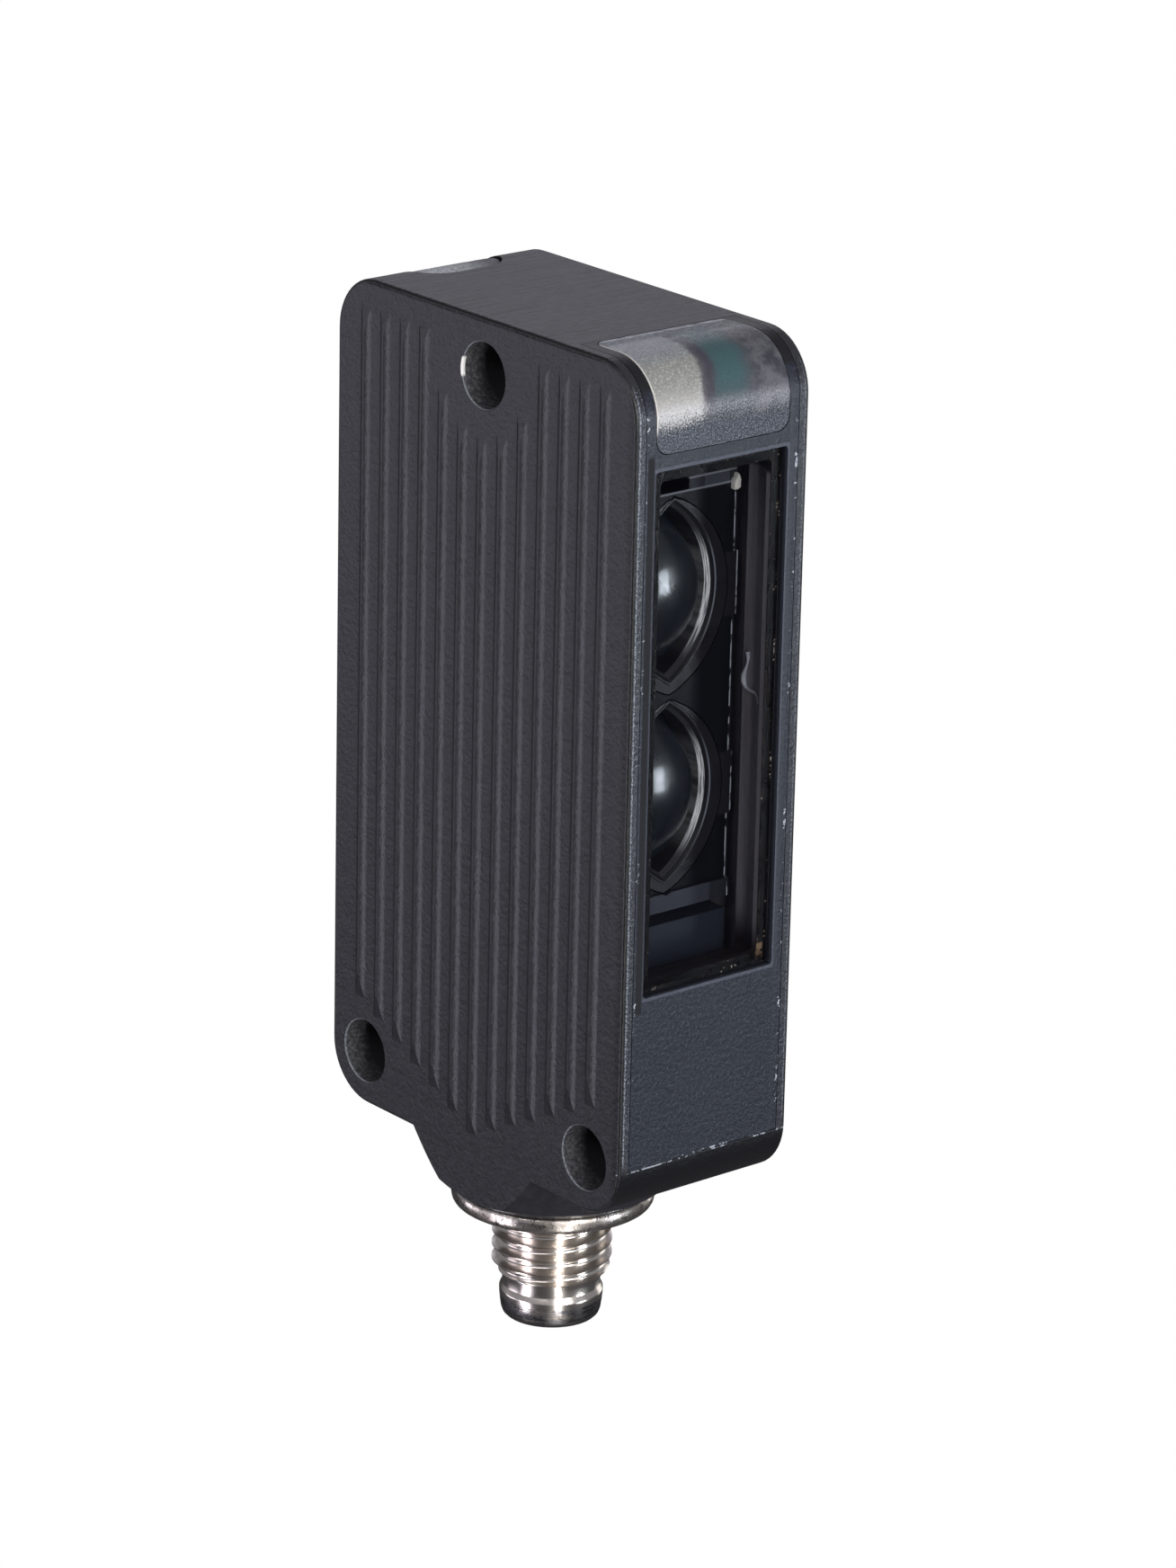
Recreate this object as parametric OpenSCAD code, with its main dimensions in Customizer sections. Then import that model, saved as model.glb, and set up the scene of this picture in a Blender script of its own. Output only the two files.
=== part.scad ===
// Slim retroreflective photoelectric sensor with a threaded plug. Millimetres.
// Origin on the plug's axis at the lower face of its flange, +Z up, optics towards -Y.

/* [Housing] */
// width of the housing across its two ribbed faces
body_width = 14; // [10:0.5:24]
// depth of the housing from the optics to its back
body_depth = 30; // [24:0.5:50]
// underside of the block above the flange's lower face
body_bottom = 4.6; // [3:0.1:10]
// corner radius seen from the side
body_corner = 3.75; // [2:0.05:6]
// rounding of the edges of the side faces
edge_round = 0.25; // [0.1:0.05:1]
// thickness of the side walls
side_wall = 0.8; // [0.6:0.05:2]
// thickness of the back, top and bottom walls
back_wall = 1.2; // [0.8:0.1:3]
// lower lip of the housing under the cover, above the block's underside
lip_height = 3.6; // [2:0.1:6]
// length of the top wall that the cover takes
top_opening = 6.5; // [5:0.1:10]

/* [Mounting holes] */
// diameter of the three through holes
hole_d = 4.3; // [3:0.1:6]
// axis of each lower hole from the nearest face of the block, front or back
hole_inset = 3.5; // [2.8:0.05:6]
// lower holes above the block's underside
hole_lift = 3.65; // [3:0.05:8]
// top hole under the block's top
top_hole_drop = 3.75; // [3.5:0.05:6]
// wall of the boss round each hole
boss_wall = 1.15; // [0.8:0.05:3]
// chamfer at the mouth of each hole
hole_chamfer = 0.1; // [0.05:0.05:0.8]

/* [Ribs] */
// number of ribs on each side face
rib_count = 13; // [5:2:21]
// distance between ribs
rib_pitch = 2; // [1.2:0.1:4]
// width of a rib at its foot
rib_width = 1.5; // [0.8:0.05:1.8]
// width of a rib's crest
rib_crest = 0.2; // [0.1:0.05:0.5]
// height of a rib
rib_height = 0.25; // [0.1:0.05:0.6]
// top of the ribs under the block's top
rib_top_gap = 2.6; // [1.5:0.1:6]
// length over which a rib rises at each end
rib_run = 1.6; // [0.2:0.1:2]
// clear ring between the ribs and the top hole's edge
rib_hole_clear = 2.6; // [1:0.1:5]
// bottom of the middle rib above the block's underside
rib_bottom_gap = 2.3; // [1:0.1:8]
// rise of the rib ends from the middle rib outwards, per millimetre
rib_slope = 0.49; // [0:0.01:1]

/* [Neck] */
// radius of the neck at its lower edge
neck_low_r = 6.6; // [5.5:0.1:9]
// radius of the neck above its lower bevel
neck_mid_r = 7.75; // [6:0.05:10]
// height of that bevel
neck_bevel = 0.7; // [0.3:0.1:2]
// radius of the neck where it meets the block
neck_top_r = 9.3; // [7:0.1:13]
// bore of the neck that takes the plug
neck_bore_r = 4.9; // [4.5:0.1:5.6]

/* [Front cover] */
// thickness of the cover's skin
cover_skin = 0.9; // [0.6:0.05:1.6]
// thickness of the cover round the indicator cap
cover_rim = 1.5; // [1.2:0.1:2.5]
// underside of the window opening above the block's underside
window_lift = 15.2; // [10:0.1:30]
// window opening above the carrier's top
window_over = 2.4; // [1:0.1:6]
// width of the window opening
window_width = 10.7; // [8:0.1:11]
// corner radius of the window opening
window_corner = 0.3; // [0.1:0.05:1]
// how far the pane lies behind the front face
pane_recess = 0.2; // [0.1:0.05:1]
// thickness of the pane
pane_thick = 0.35; // [0.2:0.05:2]
// width of the ledge that carries the pane
ledge_width = 0.85; // [0.5:0.05:2]
// thickness of that ledge
ledge_thick = 0.4; // [0.3:0.1:1.5]
// step from the opening's side to the wall behind the ledge
ledge_step = 0.2; // [0:0.05:0.5]
// thickness of the adhesive on the ledge
glue_thick = 0.05; // [0.05:0.01:0.3]
// depth of the frame behind the front face
frame_depth = 3.4; // [2:0.1:4]
// thickness of the frame under and over the window
frame_bar = 1.0; // [0.6:0.1:3]

/* [Indicator cap] */
// width of the cap
cap_width = 10.8; // [6:0.1:11]
// bar of the cover between the window and the cap
cap_bar = 1; // [0.5:0.1:3]
// lower edge of the cap under the block's top
cap_drop = 5.8; // [4.5:0.1:10]
// length of the cap along the top face, measured from the front
cap_reach = 6.4; // [4.5:0.1:10]
// thickness of the cap
cap_thick = 0.9; // [0.6:0.05:1.4]
// corner radius of the cap on the top face
cap_corner_top = 0.9; // [0.2:0.1:2]
// corner radius of the cap on the front face
cap_corner_front = 1; // [0.2:0.1:2]
// width of the ledge under the cap at its front and back
cap_ledge = 0.7; // [0.3:0.1:1.5]
// width of the ledge under the cap's sides
cap_side_ledge = 0.25; // [0.2:0.05:1.5]

/* [Rear indicator] */
// width of the rear indicator window
rear_width = 7.2; // [4:0.1:10]
// its length along the top face, measured from the back
rear_reach = 5; // [4:0.1:9]
// its drop down the back face, measured from the top
rear_drop = 6; // [4:0.1:12]
// how far it lies under the housing's skin
rear_recess = 0.45; // [0.1:0.05:0.7]
// thickness of the insert
rear_thick = 0.6; // [0.4:0.05:1.2]
// radius of its rounded ends
rear_corner = 2.4; // [0.5:0.1:3]
// width of the ledge under the insert
rear_ledge = 0.5; // [0.3:0.1:1.2]
// depth of that ledge
rear_seat = 0.5; // [0.3:0.1:1]

/* [Optics] */
// distance from the front face to the carrier's front
carrier_setback = 4.5; // [3.5:0.1:8]
// width of the carrier
carrier_width = 10.2; // [8:0.1:12]
// underside of the carrier's body above the window opening's lower edge
carrier_lift = 3.5; // [1:0.1:8]
// carrier's body above the upper lens centre
lens_over = 6.8; // [6.7:0.1:12]
// depth of the carrier
carrier_depth = 12.7; // [9:0.1:18]
// height of the two horns on the carrier's top edge
horn_height = 0.8; // [0.3:0.1:2]
// width of the notch between the horns
horn_notch = 2.4; // [1:0.1:6]
// height of the ledge at the carrier's foot
foot_ledge = 1.2; // [0.5:0.1:3]
// how far that ledge stands out
foot_ledge_out = 0.3; // [0.1:0.05:1]
// height of the groove under that ledge
groove_height = 0.8; // [0.3:0.1:2]
// depth of the groove
groove_depth = 1.6; // [0.5:0.1:4]
// width of the carrier's lower wall
foot_width = 9.8; // [6:0.1:12]
// how far the lower wall stands out from the carrier's front
foot_out = 0.3; // [0:0.05:1]
// distance between the two lens centres
lens_pitch = 13.3; // [12:0.1:20]
// centre of the lower lens above the carrier's underside
lens_lift = 7.6; // [7:0.1:12]
// radius of each arc of the lens outline
lens_arc_r = 6.9; // [5:0.05:8]
// half the width of the lens outline
lens_half = 4.6; // [3:0.05:5]
// radius of the curved lens face
dome_r = 8.2; // [7.2:0.1:14]
// how far the lens face bulges past the carrier's front
dome_bulge = 0; // [0:0.1:1.2]
// thickness of the lens at its middle
lens_thick = 3.4; // [3:0.1:6]
// width of the raised rim round the lens
lens_rim = 0.4; // [0.2:0.05:1]
// taper of the rim's inner side
rim_taper = 0.35; // [0.1:0.05:0.8]
// thickness of each polarising film
film_thick = 0.3; // [0.1:0.05:0.6]
// wall between a film and its light chamber
film_ledge = 0.4; // [0.2:0.1:1]
// radius of a light chamber behind the film
chamber_front_r = 4; // [2.5:0.1:4.2]
// radius of a light chamber at the board
chamber_back_r = 2.4; // [1.8:0.1:3.5]
// height of the side pads level with each lens
pad_height = 4.2; // [2:0.1:8]
// how far the side pads stand out
pad_out = 0.3; // [0.1:0.05:0.6]
// width of the white tab at the carrier's upper corner
tab_width = 0.8; // [0.4:0.1:2]
// height of the white tab's straight part
tab_height = 0.9; // [0.4:0.1:2]
// thickness of the white tab
tab_thick = 0.4; // [0.2:0.1:1]
// length of the side lugs that meet the housing
lug_length = 6; // [3:0.5:9]
// height of the side lugs
lug_height = 4; // [2:0.5:8]

/* [Electronics] */
// width of the light pipe to the rear indicator window
pipe_width = 1.8; // [1:0.1:3]
// thickness of the boards
board_thick = 1; // [0.6:0.1:1.6]
// main board above the carrier's top
board_over = 0.8; // [0:0.1:1.4]
// main board below the carrier's underside
board_under = 9; // [4:0.5:10]
// side of the emitter and receiver packages
chip_side = 2.8; // [2:0.1:3.2]
// height of the emitter and receiver packages
chip_height = 1; // [0.5:0.1:2]
// radius of the emitter's dome
emitter_dome_r = 1.1; // [0.6:0.1:1.4]
// side of the controller chip
controller_side = 5; // [3:0.5:8]
// height of the controller chip
controller_height = 0.9; // [0.5:0.1:2]
// size of the receiver's shield
shield_side = 7; // [5:0.5:10]
// height of the shield
shield_height = 2; // [1:0.1:4]
// sheet of the shield
shield_sheet = 0.25; // [0.1:0.05:0.5]
// length of the display board
display_depth = 7.6; // [6:0.1:9]
// side of an indicator LED
led_side = 1.6; // [1:0.1:2.4]
// height of an indicator LED
led_height = 0.8; // [0.4:0.1:1.5]
// width of the cream light guide
guide_width = 3.7; // [2:0.1:5]
// width of the teal light guide
teal_width = 3.2; // [2:0.1:4]
// gap between the two light guides
guide_gap = 1; // [0.3:0.1:2]
// how much lower the teal light guide stands under the cap
teal_setback = 0.6; // [0.1:0.1:1.5]
// depth of the light guide under the cap
guide_reach = 3.6; // [2.4:0.1:4]
// width of the flex link
flex_width = 5; // [2:0.5:6]
// thickness of the flex link
flex_thick = 0.2; // [0.1:0.05:0.4]

/* [Plug] */
// radius of the flange
flange_r = 6.75; // [5:0.05:9]
// thickness of the flange
flange_thick = 1.1; // [0.6:0.1:3]
// outer diameter of the thread
thread_d = 8; // [6:0.5:12]
// length of the thread
thread_length = 5.1; // [3:0.1:10]
// bevel at the end of the thread
thread_bevel = 0.35; // [0.1:0.05:0.8]
// radius of the groove behind the snap rim
groove_r = 3.3; // [3.15:0.05:3.6]
// length of the groove
groove_length = 1.2; // [0.5:0.1:3]
// radius of the snap rim
snap_r = 3.5; // [3.35:0.05:3.9]
// length of the snap rim's straight part
snap_length = 1.3; // [0.5:0.1:3]
// radius at the open end
mouth_r = 3.2; // [3:0.05:3.6]
// length of the taper at the open end
mouth_taper = 0.6; // [0.2:0.05:1]
// inner radius of the shell
shell_bore_r = 2.8; // [2.4:0.05:3]
// length of the shell that sits in the neck
shell_stem = 3.4; // [2:0.1:6]
// distance from the open end to the contact carrier
socket_depth = 5; // [3:0.1:8]
// number of contact pins
pin_count = 4; // [3:1:5]
// diameter of a contact pin
pin_d = 0.8; // [0.5:0.05:1.2]
// radius of the circle that the pins stand on
pin_circle_r = 1.45; // [1:0.05:2]
// how far the pins end inside the open end
pin_inset = 0.8; // [0.3:0.1:3]
// radius of the keyway in the contact carrier
key_r = 0.45; // [0.2:0.05:0.8]
// thickness of the sealing ring
seal_d = 0.9; // [0.6:0.05:1.4]
// radius of the sealing ring's centre line
seal_r = 5.75; // [5.4:0.05:6.2]
// radius of the connector board
link_board_r = 4.3; // [3:0.1:4.6]

/* [Fit] */
// clearance of the cover and the caps in their openings
fit_gap = 0.05; // [0.02:0.01:0.3]
// clearance of the inner parts
inner_gap = 0.1; // [0.05:0.01:0.3]

/* [Hidden] */
$fn = 64;
eps = 0.01;
over = 1;

carrier_height = lens_lift + lens_pitch + lens_over;
window_height = carrier_lift + carrier_height + horn_height + window_over;
body_height = window_lift + window_height + cap_bar + cap_drop;
hole_spacing = body_depth - 2 * hole_inset;
half_w = body_width / 2;
half_d = body_depth / 2;
body_top = body_bottom + body_height;
inner_half = half_w - side_wall;
cover_half = inner_half - fit_gap;
cover_low = body_bottom + lip_height;
top_edge = -half_d + top_opening;
hole_r = hole_d / 2;
boss_r = hole_r + boss_wall;
low_hole_z = body_bottom + hole_lift;
top_hole_z = body_top - top_hole_drop;
window_low = body_bottom + window_lift;
window_top = window_low + window_height;
pane_front = -half_d + pane_recess;
pane_back = pane_front + pane_thick;
ledge_front = pane_back + glue_thick;
frame_back = -half_d + frame_depth;
cap_low = window_top + cap_bar;
carrier_front = -half_d + carrier_setback;
carrier_back = carrier_front + carrier_depth;
carrier_low = window_low + carrier_lift;
carrier_top = carrier_low + carrier_height;
horn_top = carrier_top + horn_height;
tab_x = carrier_width / 2 - tab_width / 4;
foot_top = carrier_low - groove_height;
foot_low = low_hole_z + boss_r + inner_gap;
lens_low_z = carrier_low + lens_lift;
lens_high_z = lens_low_z + lens_pitch;
lens_offset = lens_arc_r - lens_half;
dome_apex = carrier_front - dome_bulge;
lens_back = dome_apex + lens_thick;
film_back = lens_back + film_thick;
chamber_start = film_back + film_ledge;
board_front = carrier_back;
board_back = board_front + board_thick;
board_top = horn_top + board_over;
board_low = carrier_low - board_under;
board_half = inner_half - 3 * inner_gap;
display_top = cap_low + board_thick;
led_y = -half_d + cover_rim + guide_reach / 2;
shell_top = flange_thick + shell_stem;
groove_z = -thread_length;
snap_z = groove_z - groove_length;
shell_end = snap_z - snap_length - mouth_taper;
socket_floor = shell_end + socket_depth;
link_board_low = shell_top + inner_gap;
link_board_top = link_board_low + board_thick;
seal_z = flange_thick + seal_d / 2;

// Rounded rectangle from squares and circles, corner to corner.
module round_rect(x0, y0, x1, y1, r) {
    translate([x0 + r, y0]) square([x1 - x0 - 2 * r, y1 - y0]);
    translate([x0, y0 + r]) square([x1 - x0, y1 - y0 - 2 * r]);
    for (x = [x0 + r, x1 - r]) for (y = [y0 + r, y1 - r]) translate([x, y]) circle(r = r);
}

// Extrudes an outline drawn in Y and Z along X, centred on X.
module along_x(half) {
    translate([-half, 0, 0]) rotate([90, 0, 90]) linear_extrude(height = 2 * half) children();
}

// Extrudes an outline drawn in X and Z along Y, from y0 to y1.
module along_y(y0, y1) {
    translate([0, y1, 0]) rotate([90, 0, 0]) linear_extrude(height = y1 - y0) children();
}

// A cylinder along X, centred on X.
module rod_x(half, r, y, z) {
    translate([-half, y, z]) rotate([0, 90, 0]) cylinder(h = 2 * half, r = r);
}

// One rounded corner of the slab: a disc with a rounded rim.
module corner_disc(y, z) {
    translate([0, y, z]) rotate([0, 90, 0]) rotate_extrude() intersection() {
        round_rect(-body_corner, -half_w, body_corner, half_w, edge_round);
        translate([0, -half_w]) square([body_corner, body_width]);
    }
}

// The slab with rounded corners and softly rounded side edges.
module slab() {
    along_y(-half_d + body_corner, half_d - body_corner)
        round_rect(-half_w, body_bottom, half_w, body_top, edge_round);
    translate([0, 0, body_bottom + body_corner])
        linear_extrude(height = body_height - 2 * body_corner)
            round_rect(-half_w, -half_d, half_w, half_d, edge_round);
    for (y = [-half_d + body_corner, half_d - body_corner])
        for (z = [body_bottom + body_corner, body_top - body_corner]) corner_disc(y, z);
}

// The conical neck, turned and cut to the width of the slab.
module neck() {
    intersection() {
        rotate_extrude() polygon([
            [0, flange_thick],
            [neck_low_r, flange_thick],
            [neck_mid_r, flange_thick + neck_bevel],
            [neck_top_r, body_bottom + 0.1],
            [neck_top_r, body_bottom + hole_lift],
            [0, body_bottom + hole_lift]
        ]);
        translate([-half_w, -neck_top_r - over, 0]) cube([body_width, 2 * (neck_top_r + over), low_hole_z + over]);
    }
}

function rib_y(i) = (i - (rib_count - 1) / 2) * rib_pitch;
function rib_low(y) = body_bottom + rib_bottom_gap + rib_slope * abs(y);
rib_ring = hole_r + rib_hole_clear;
function rib_high(y) = abs(y) < rib_ring
    ? min(body_top - rib_top_gap, top_hole_z - sqrt(rib_ring * rib_ring - y * y))
    : body_top - rib_top_gap;

rib_root = side_wall / 2;
rib_side = (rib_width - rib_crest) / 2;
rib_flank_r = (rib_side * rib_side + rib_height * rib_height) / (2 * rib_height);

// One raised rib with hollow flanks and ends that run out, on the face at +X.
module rib(y) {
    intersection() {
        translate([0, 0, rib_low(y) - rib_run]) linear_extrude(height = rib_high(y) - rib_low(y) + 2 * rib_run)
            difference() {
                translate([half_w - rib_root, y - rib_width / 2]) square([rib_root + rib_height, rib_width]);
                for (t = [-1, 1]) translate([half_w + rib_flank_r - 2 * eps, y + t * rib_width / 2])
                    circle(r = rib_flank_r);
            }
        translate([0, y + rib_width, 0]) rotate([90, 0, 0]) linear_extrude(height = 2 * rib_width) polygon([
            [half_w - rib_root, rib_low(y) - rib_run / 2],
            [half_w, rib_low(y) - rib_run / 2],
            [half_w + rib_height, rib_low(y) + rib_run / 2],
            [half_w + rib_height, rib_high(y) - rib_run / 2],
            [half_w, rib_high(y) + rib_run / 2],
            [half_w - rib_root, rib_high(y) + rib_run / 2]
        ]);
    }
}

module ribs() {
    for (i = [0 : rib_count - 1]) {
        rib(rib_y(i));
        mirror([1, 0, 0]) rib(rib_y(i));
    }
}

// Room inside the walls, open to the front above the lip and to the top over the cap.
module cavity() {
    along_x(inner_half)
        round_rect(-half_d + back_wall, body_bottom + back_wall, half_d - back_wall, body_top - back_wall,
            body_corner - back_wall);
    translate([-inner_half, -half_d - over, cover_low])
        cube([2 * inner_half, back_wall + body_corner + over, body_height]);
    translate([-inner_half, -half_d - over, body_top - body_corner - back_wall])
        cube([2 * inner_half, top_opening + over, body_corner + back_wall + over]);
}

// The bosses round the three holes, with the front one cut back behind the cover.
module bosses() {
    difference() {
        union() {
            rod_x(half_w - edge_round, boss_r, -hole_spacing / 2, low_hole_z);
            rod_x(half_w - edge_round, boss_r, hole_spacing / 2, low_hole_z);
            rod_x(half_w - edge_round, boss_r, 0, top_hole_z);
        }
        translate([-half_w, -half_d - over, cover_low]) cube([body_width, cover_skin + over, body_height]);
    }
}

module hole_at(y, z) {
    rod_x(half_w + over, hole_r, y, z);
    for (s = [-1, 1]) translate([s * half_w, y, z]) rotate([0, 90 * s, 0])
        translate([0, 0, -hole_chamfer]) cylinder(h = 2 * hole_chamfer, r1 = hole_r, r2 = hole_r + 2 * hole_chamfer);
}

// Band that follows the slab's skin between two depths, at the rear top corner.
module rear_band(d0, d1) {
    difference() {
        round_rect(0, body_bottom, half_d - d0, body_top - d0, body_corner - d0);
        round_rect(-over, body_bottom - over, half_d - d1, body_top - d1, body_corner - d1);
    }
}

// The rear indicator's outline over the rear top corner, grown by g, between two depths.
module rear_shape(g, d0, d1) {
    intersection() {
        along_x(rear_width / 2 + g) rear_band(d0, d1);
        linear_extrude(height = body_top + over)
            round_rect(-rear_width / 2 - g, half_d - rear_reach - g, rear_width / 2 + g, half_d + body_corner,
                rear_corner + g);
        along_y(0, half_d + over)
            round_rect(-rear_width / 2 - g, body_top - rear_drop - g, rear_width / 2 + g, body_top + body_corner,
                rear_corner + g);
    }
}

module housing() {
    color("#26282b") difference() {
        union() {
            slab();
            neck();
            ribs();
        }
        difference() {
            cavity();
            bosses();
        }
        translate([0, 0, 0]) cylinder(h = body_bottom + back_wall + eps, r = neck_bore_r);
        rotate_extrude() translate([seal_r, flange_thick])
            polygon([[-seal_d / 2 - inner_gap, -over], [seal_d / 2 + inner_gap, -over],
                [seal_d / 2 + inner_gap, seal_d], [-seal_d / 2 - inner_gap, seal_d]]);
        hole_at(-hole_spacing / 2, low_hole_z);
        hole_at(hole_spacing / 2, low_hole_z);
        hole_at(0, top_hole_z);
        rear_shape(fit_gap, -over, rear_recess + rear_thick + fit_gap);
        rear_shape(-rear_ledge, -over, back_wall + rear_seat);
    }
}

// Outline of the front top corner seen from the side, between two depths.
module front_band(d0, d1, low, back) {
    difference() {
        intersection() {
            round_rect(-half_d + d0, body_bottom, 0, body_top - d0, body_corner - d0);
            translate([-half_d - over, low]) square([back + half_d + over, body_height]);
        }
        round_rect(-half_d + d1, body_bottom - over, over, body_top - d1, body_corner - d1);
    }
}

// The cap's outline over the front top corner, shrunk by side at its sides and g at its ends.
module cap_shape(side, g, d0, d1) {
    half = cap_width / 2 - side;
    intersection() {
        along_x(half) front_band(d0, d1, cap_low + g, -half_d + cap_reach - g);
        linear_extrude(height = body_top + over)
            round_rect(-half, -half_d - body_corner, half, -half_d + cap_reach - g, cap_corner_top);
        along_y(-half_d - over, 0)
            round_rect(-half, cap_low + g, half, body_top + body_corner, cap_corner_front);
    }
}

// The window opening, shrunk by g, between two depths.
module window_block(g, y0, y1) {
    along_y(y0, y1)
        round_rect(-window_width / 2 + g, window_low + g, window_width / 2 - g, window_top - g, window_corner);
}

module front_cover() {
    color("#353c4a") difference() {
        union() {
            along_x(cover_half) front_band(0, cover_skin, cover_low + fit_gap, top_edge - fit_gap);
            along_x(cover_half) front_band(0, cover_rim, cap_low - cap_bar, top_edge - fit_gap);
            translate([-cover_half, -half_d, window_low - frame_bar])
                cube([2 * cover_half, frame_depth, window_height + frame_bar + cap_bar]);
        }
        window_block(0, -half_d - over, ledge_front);
        window_block(ledge_width, -half_d - over, half_d);
        window_block(ledge_step, ledge_front + ledge_thick, half_d);
        cap_shape(0, 0, -over, cap_thick + fit_gap);
        cap_shape(cap_side_ledge, cap_ledge, -over, cover_rim + over);
    }
}

module indicator_cap() {
    color("#b9bcc0", 0.6) cap_shape(fit_gap, fit_gap, 0, cap_thick);
}

module rear_indicator_window() {
    color("#c9cbce", 0.6) rear_shape(0, rear_recess, rear_recess + rear_thick);
}

module window_pane() {
    color("#3c3a46", 0.35) window_block(fit_gap, pane_front, pane_back);
}

module pane_adhesive() {
    color("#2b241c") difference() {
        window_block(fit_gap, pane_back, ledge_front);
        window_block(ledge_width, pane_back - over, ledge_front + over);
    }
}

// The lens outline as a prism: what two turned drums share, shrunk by g.
module lens_drum(z, g, y0, y1, taper = 0) {
    intersection_for(s = [-1, 1]) translate([s * lens_offset, y1, z]) rotate([90, 0, 0])
        cylinder(h = y1 - y0, r1 = lens_arc_r - g, r2 = lens_arc_r - g + taper);
}

// Light chamber from the film's ledge back to the board.
module chamber(z) {
    translate([0, board_front + eps, z]) rotate([90, 0, 0])
        cylinder(h = board_front - film_back + 2 * eps, r1 = chamber_back_r, r2 = chamber_front_r);
}

module optic_carrier() {
    color("#1b1c20") difference() {
        union() {
            translate([-carrier_width / 2, carrier_front, carrier_low])
                cube([carrier_width, carrier_depth, carrier_height]);
            for (s = [-1, 1]) translate([s > 0 ? horn_notch / 2 : -carrier_width / 2, carrier_front, carrier_top - eps])
                cube([(carrier_width - horn_notch) / 2, carrier_depth, horn_height + eps]);
            translate([-carrier_width / 2, carrier_front - foot_ledge_out, carrier_low])
                cube([carrier_width, foot_ledge_out + eps, foot_ledge]);
            translate([-foot_width / 2, carrier_front + groove_depth, foot_low])
                cube([foot_width, carrier_depth - groove_depth, carrier_low - foot_low + eps]);
            translate([-foot_width / 2, carrier_front - foot_out, foot_low])
                cube([foot_width, groove_depth + foot_out + eps, foot_top - foot_low]);
            for (z = [lens_low_z, lens_high_z])
                translate([-carrier_width / 2 - pad_out, carrier_front, z - pad_height / 2])
                    cube([carrier_width + 2 * pad_out, 3 * foot_ledge, pad_height]);
            for (z = [lens_low_z, lens_high_z])
                translate([-cover_half, carrier_back - lug_length, z - lug_height / 2])
                    cube([2 * cover_half, lug_length, lug_height]);
        }
        for (z = [lens_low_z, lens_high_z]) {
            lens_drum(z, -inner_gap / 2, carrier_front - over, film_back);
            chamber(z);
        }
    }
}

// A small white tab with a pointed top, on the carrier's front at its upper corner.
module locating_tab() {
    color("#e6e4de") along_y(carrier_front - tab_thick, carrier_front) polygon([
        [tab_x - tab_width / 2, horn_top - tab_height - tab_width / 2],
        [tab_x + tab_width / 2, horn_top - tab_height - tab_width / 2],
        [tab_x + tab_width / 2, horn_top - tab_width / 2],
        [tab_x, horn_top + 2 * eps],
        [tab_x - tab_width / 2, horn_top - tab_width / 2]
    ]);
}

module lens(z) {
    difference() {
        union() {
            intersection() {
                lens_drum(z, 0, dome_apex, lens_back);
                translate([0, dome_apex + dome_r, z]) sphere(r = dome_r, $fn = 96);
            }
            difference() {
                lens_drum(z, 0, carrier_front, lens_back);
                lens_drum(z, lens_rim + rim_taper, carrier_front - eps, lens_back - film_ledge, rim_taper);
            }
        }
    }
}

module emitter_lens() {
    color("#aeb9c6", 0.5) lens(lens_low_z);
}

module receiver_lens() {
    color("#aeb9c6", 0.5) lens(lens_high_z);
}

module film(z) {
    lens_drum(z, 0, lens_back, film_back);
}

module emitter_film() {
    color("#3a3340") film(lens_low_z);
}

module receiver_film() {
    color("#3a3340") film(lens_high_z);
}

// A square part of side a and height h on the board's front, at height z.
module front_chip(a, h, z) {
    translate([-a / 2, board_front - h, z - a / 2]) cube([a, h, a]);
}

module emitter_led() {
    color("#d8d4c8") {
        front_chip(chip_side, chip_height, lens_low_z);
        intersection() {
            translate([0, board_front - chip_height, lens_low_z]) sphere(r = emitter_dome_r, $fn = 32);
            translate([-chip_side / 2, board_front - chip_height - chip_side, lens_low_z - chip_side / 2])
                cube([chip_side, chip_side + eps, chip_side]);
        }
    }
}

module receiver_diode() {
    color("#22262e") front_chip(chip_side, chip_height, lens_high_z);
}

module receiver_shield() {
    color("#b8babd") translate([0, board_back, lens_high_z]) rotate([-90, 0, 0]) difference() {
        translate([-shield_side / 2, -shield_side / 2, 0]) cube([shield_side, shield_side, shield_height]);
        translate([-shield_side / 2 + shield_sheet, -shield_side / 2 + shield_sheet, -eps])
            cube([shield_side - 2 * shield_sheet, shield_side - 2 * shield_sheet, shield_height - shield_sheet + eps]);
    }
}

module main_board() {
    color("#1e5a3a") translate([-board_half, board_front, board_low])
        cube([2 * board_half, board_thick, board_top - board_low]);
}

module controller_chip() {
    color("#1c1d1f") translate([-controller_side / 2, board_back, lens_low_z - controller_side / 2])
        cube([controller_side, controller_height, controller_side]);
}

module display_board() {
    color("#1f6a4c") translate([-board_half, -half_d + cover_rim + fit_gap, cap_low])
        cube([2 * board_half, display_depth, board_thick]);
}

// An indicator LED on the display board at side x.
module board_led(x) {
    translate([x - led_side / 2, led_y - led_side / 2, display_top]) cube([led_side, led_side, led_height]);
}

guide_x = cap_width / 2 - cap_side_ledge - inner_gap - guide_width / 2;
teal_x = -guide_x + guide_width / 2 + guide_gap + teal_width / 2;

module green_led() {
    color("#5fbf7a") board_led(teal_x);
}

module yellow_led() {
    color("#e3c95c") board_led(-guide_x);
}

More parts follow.
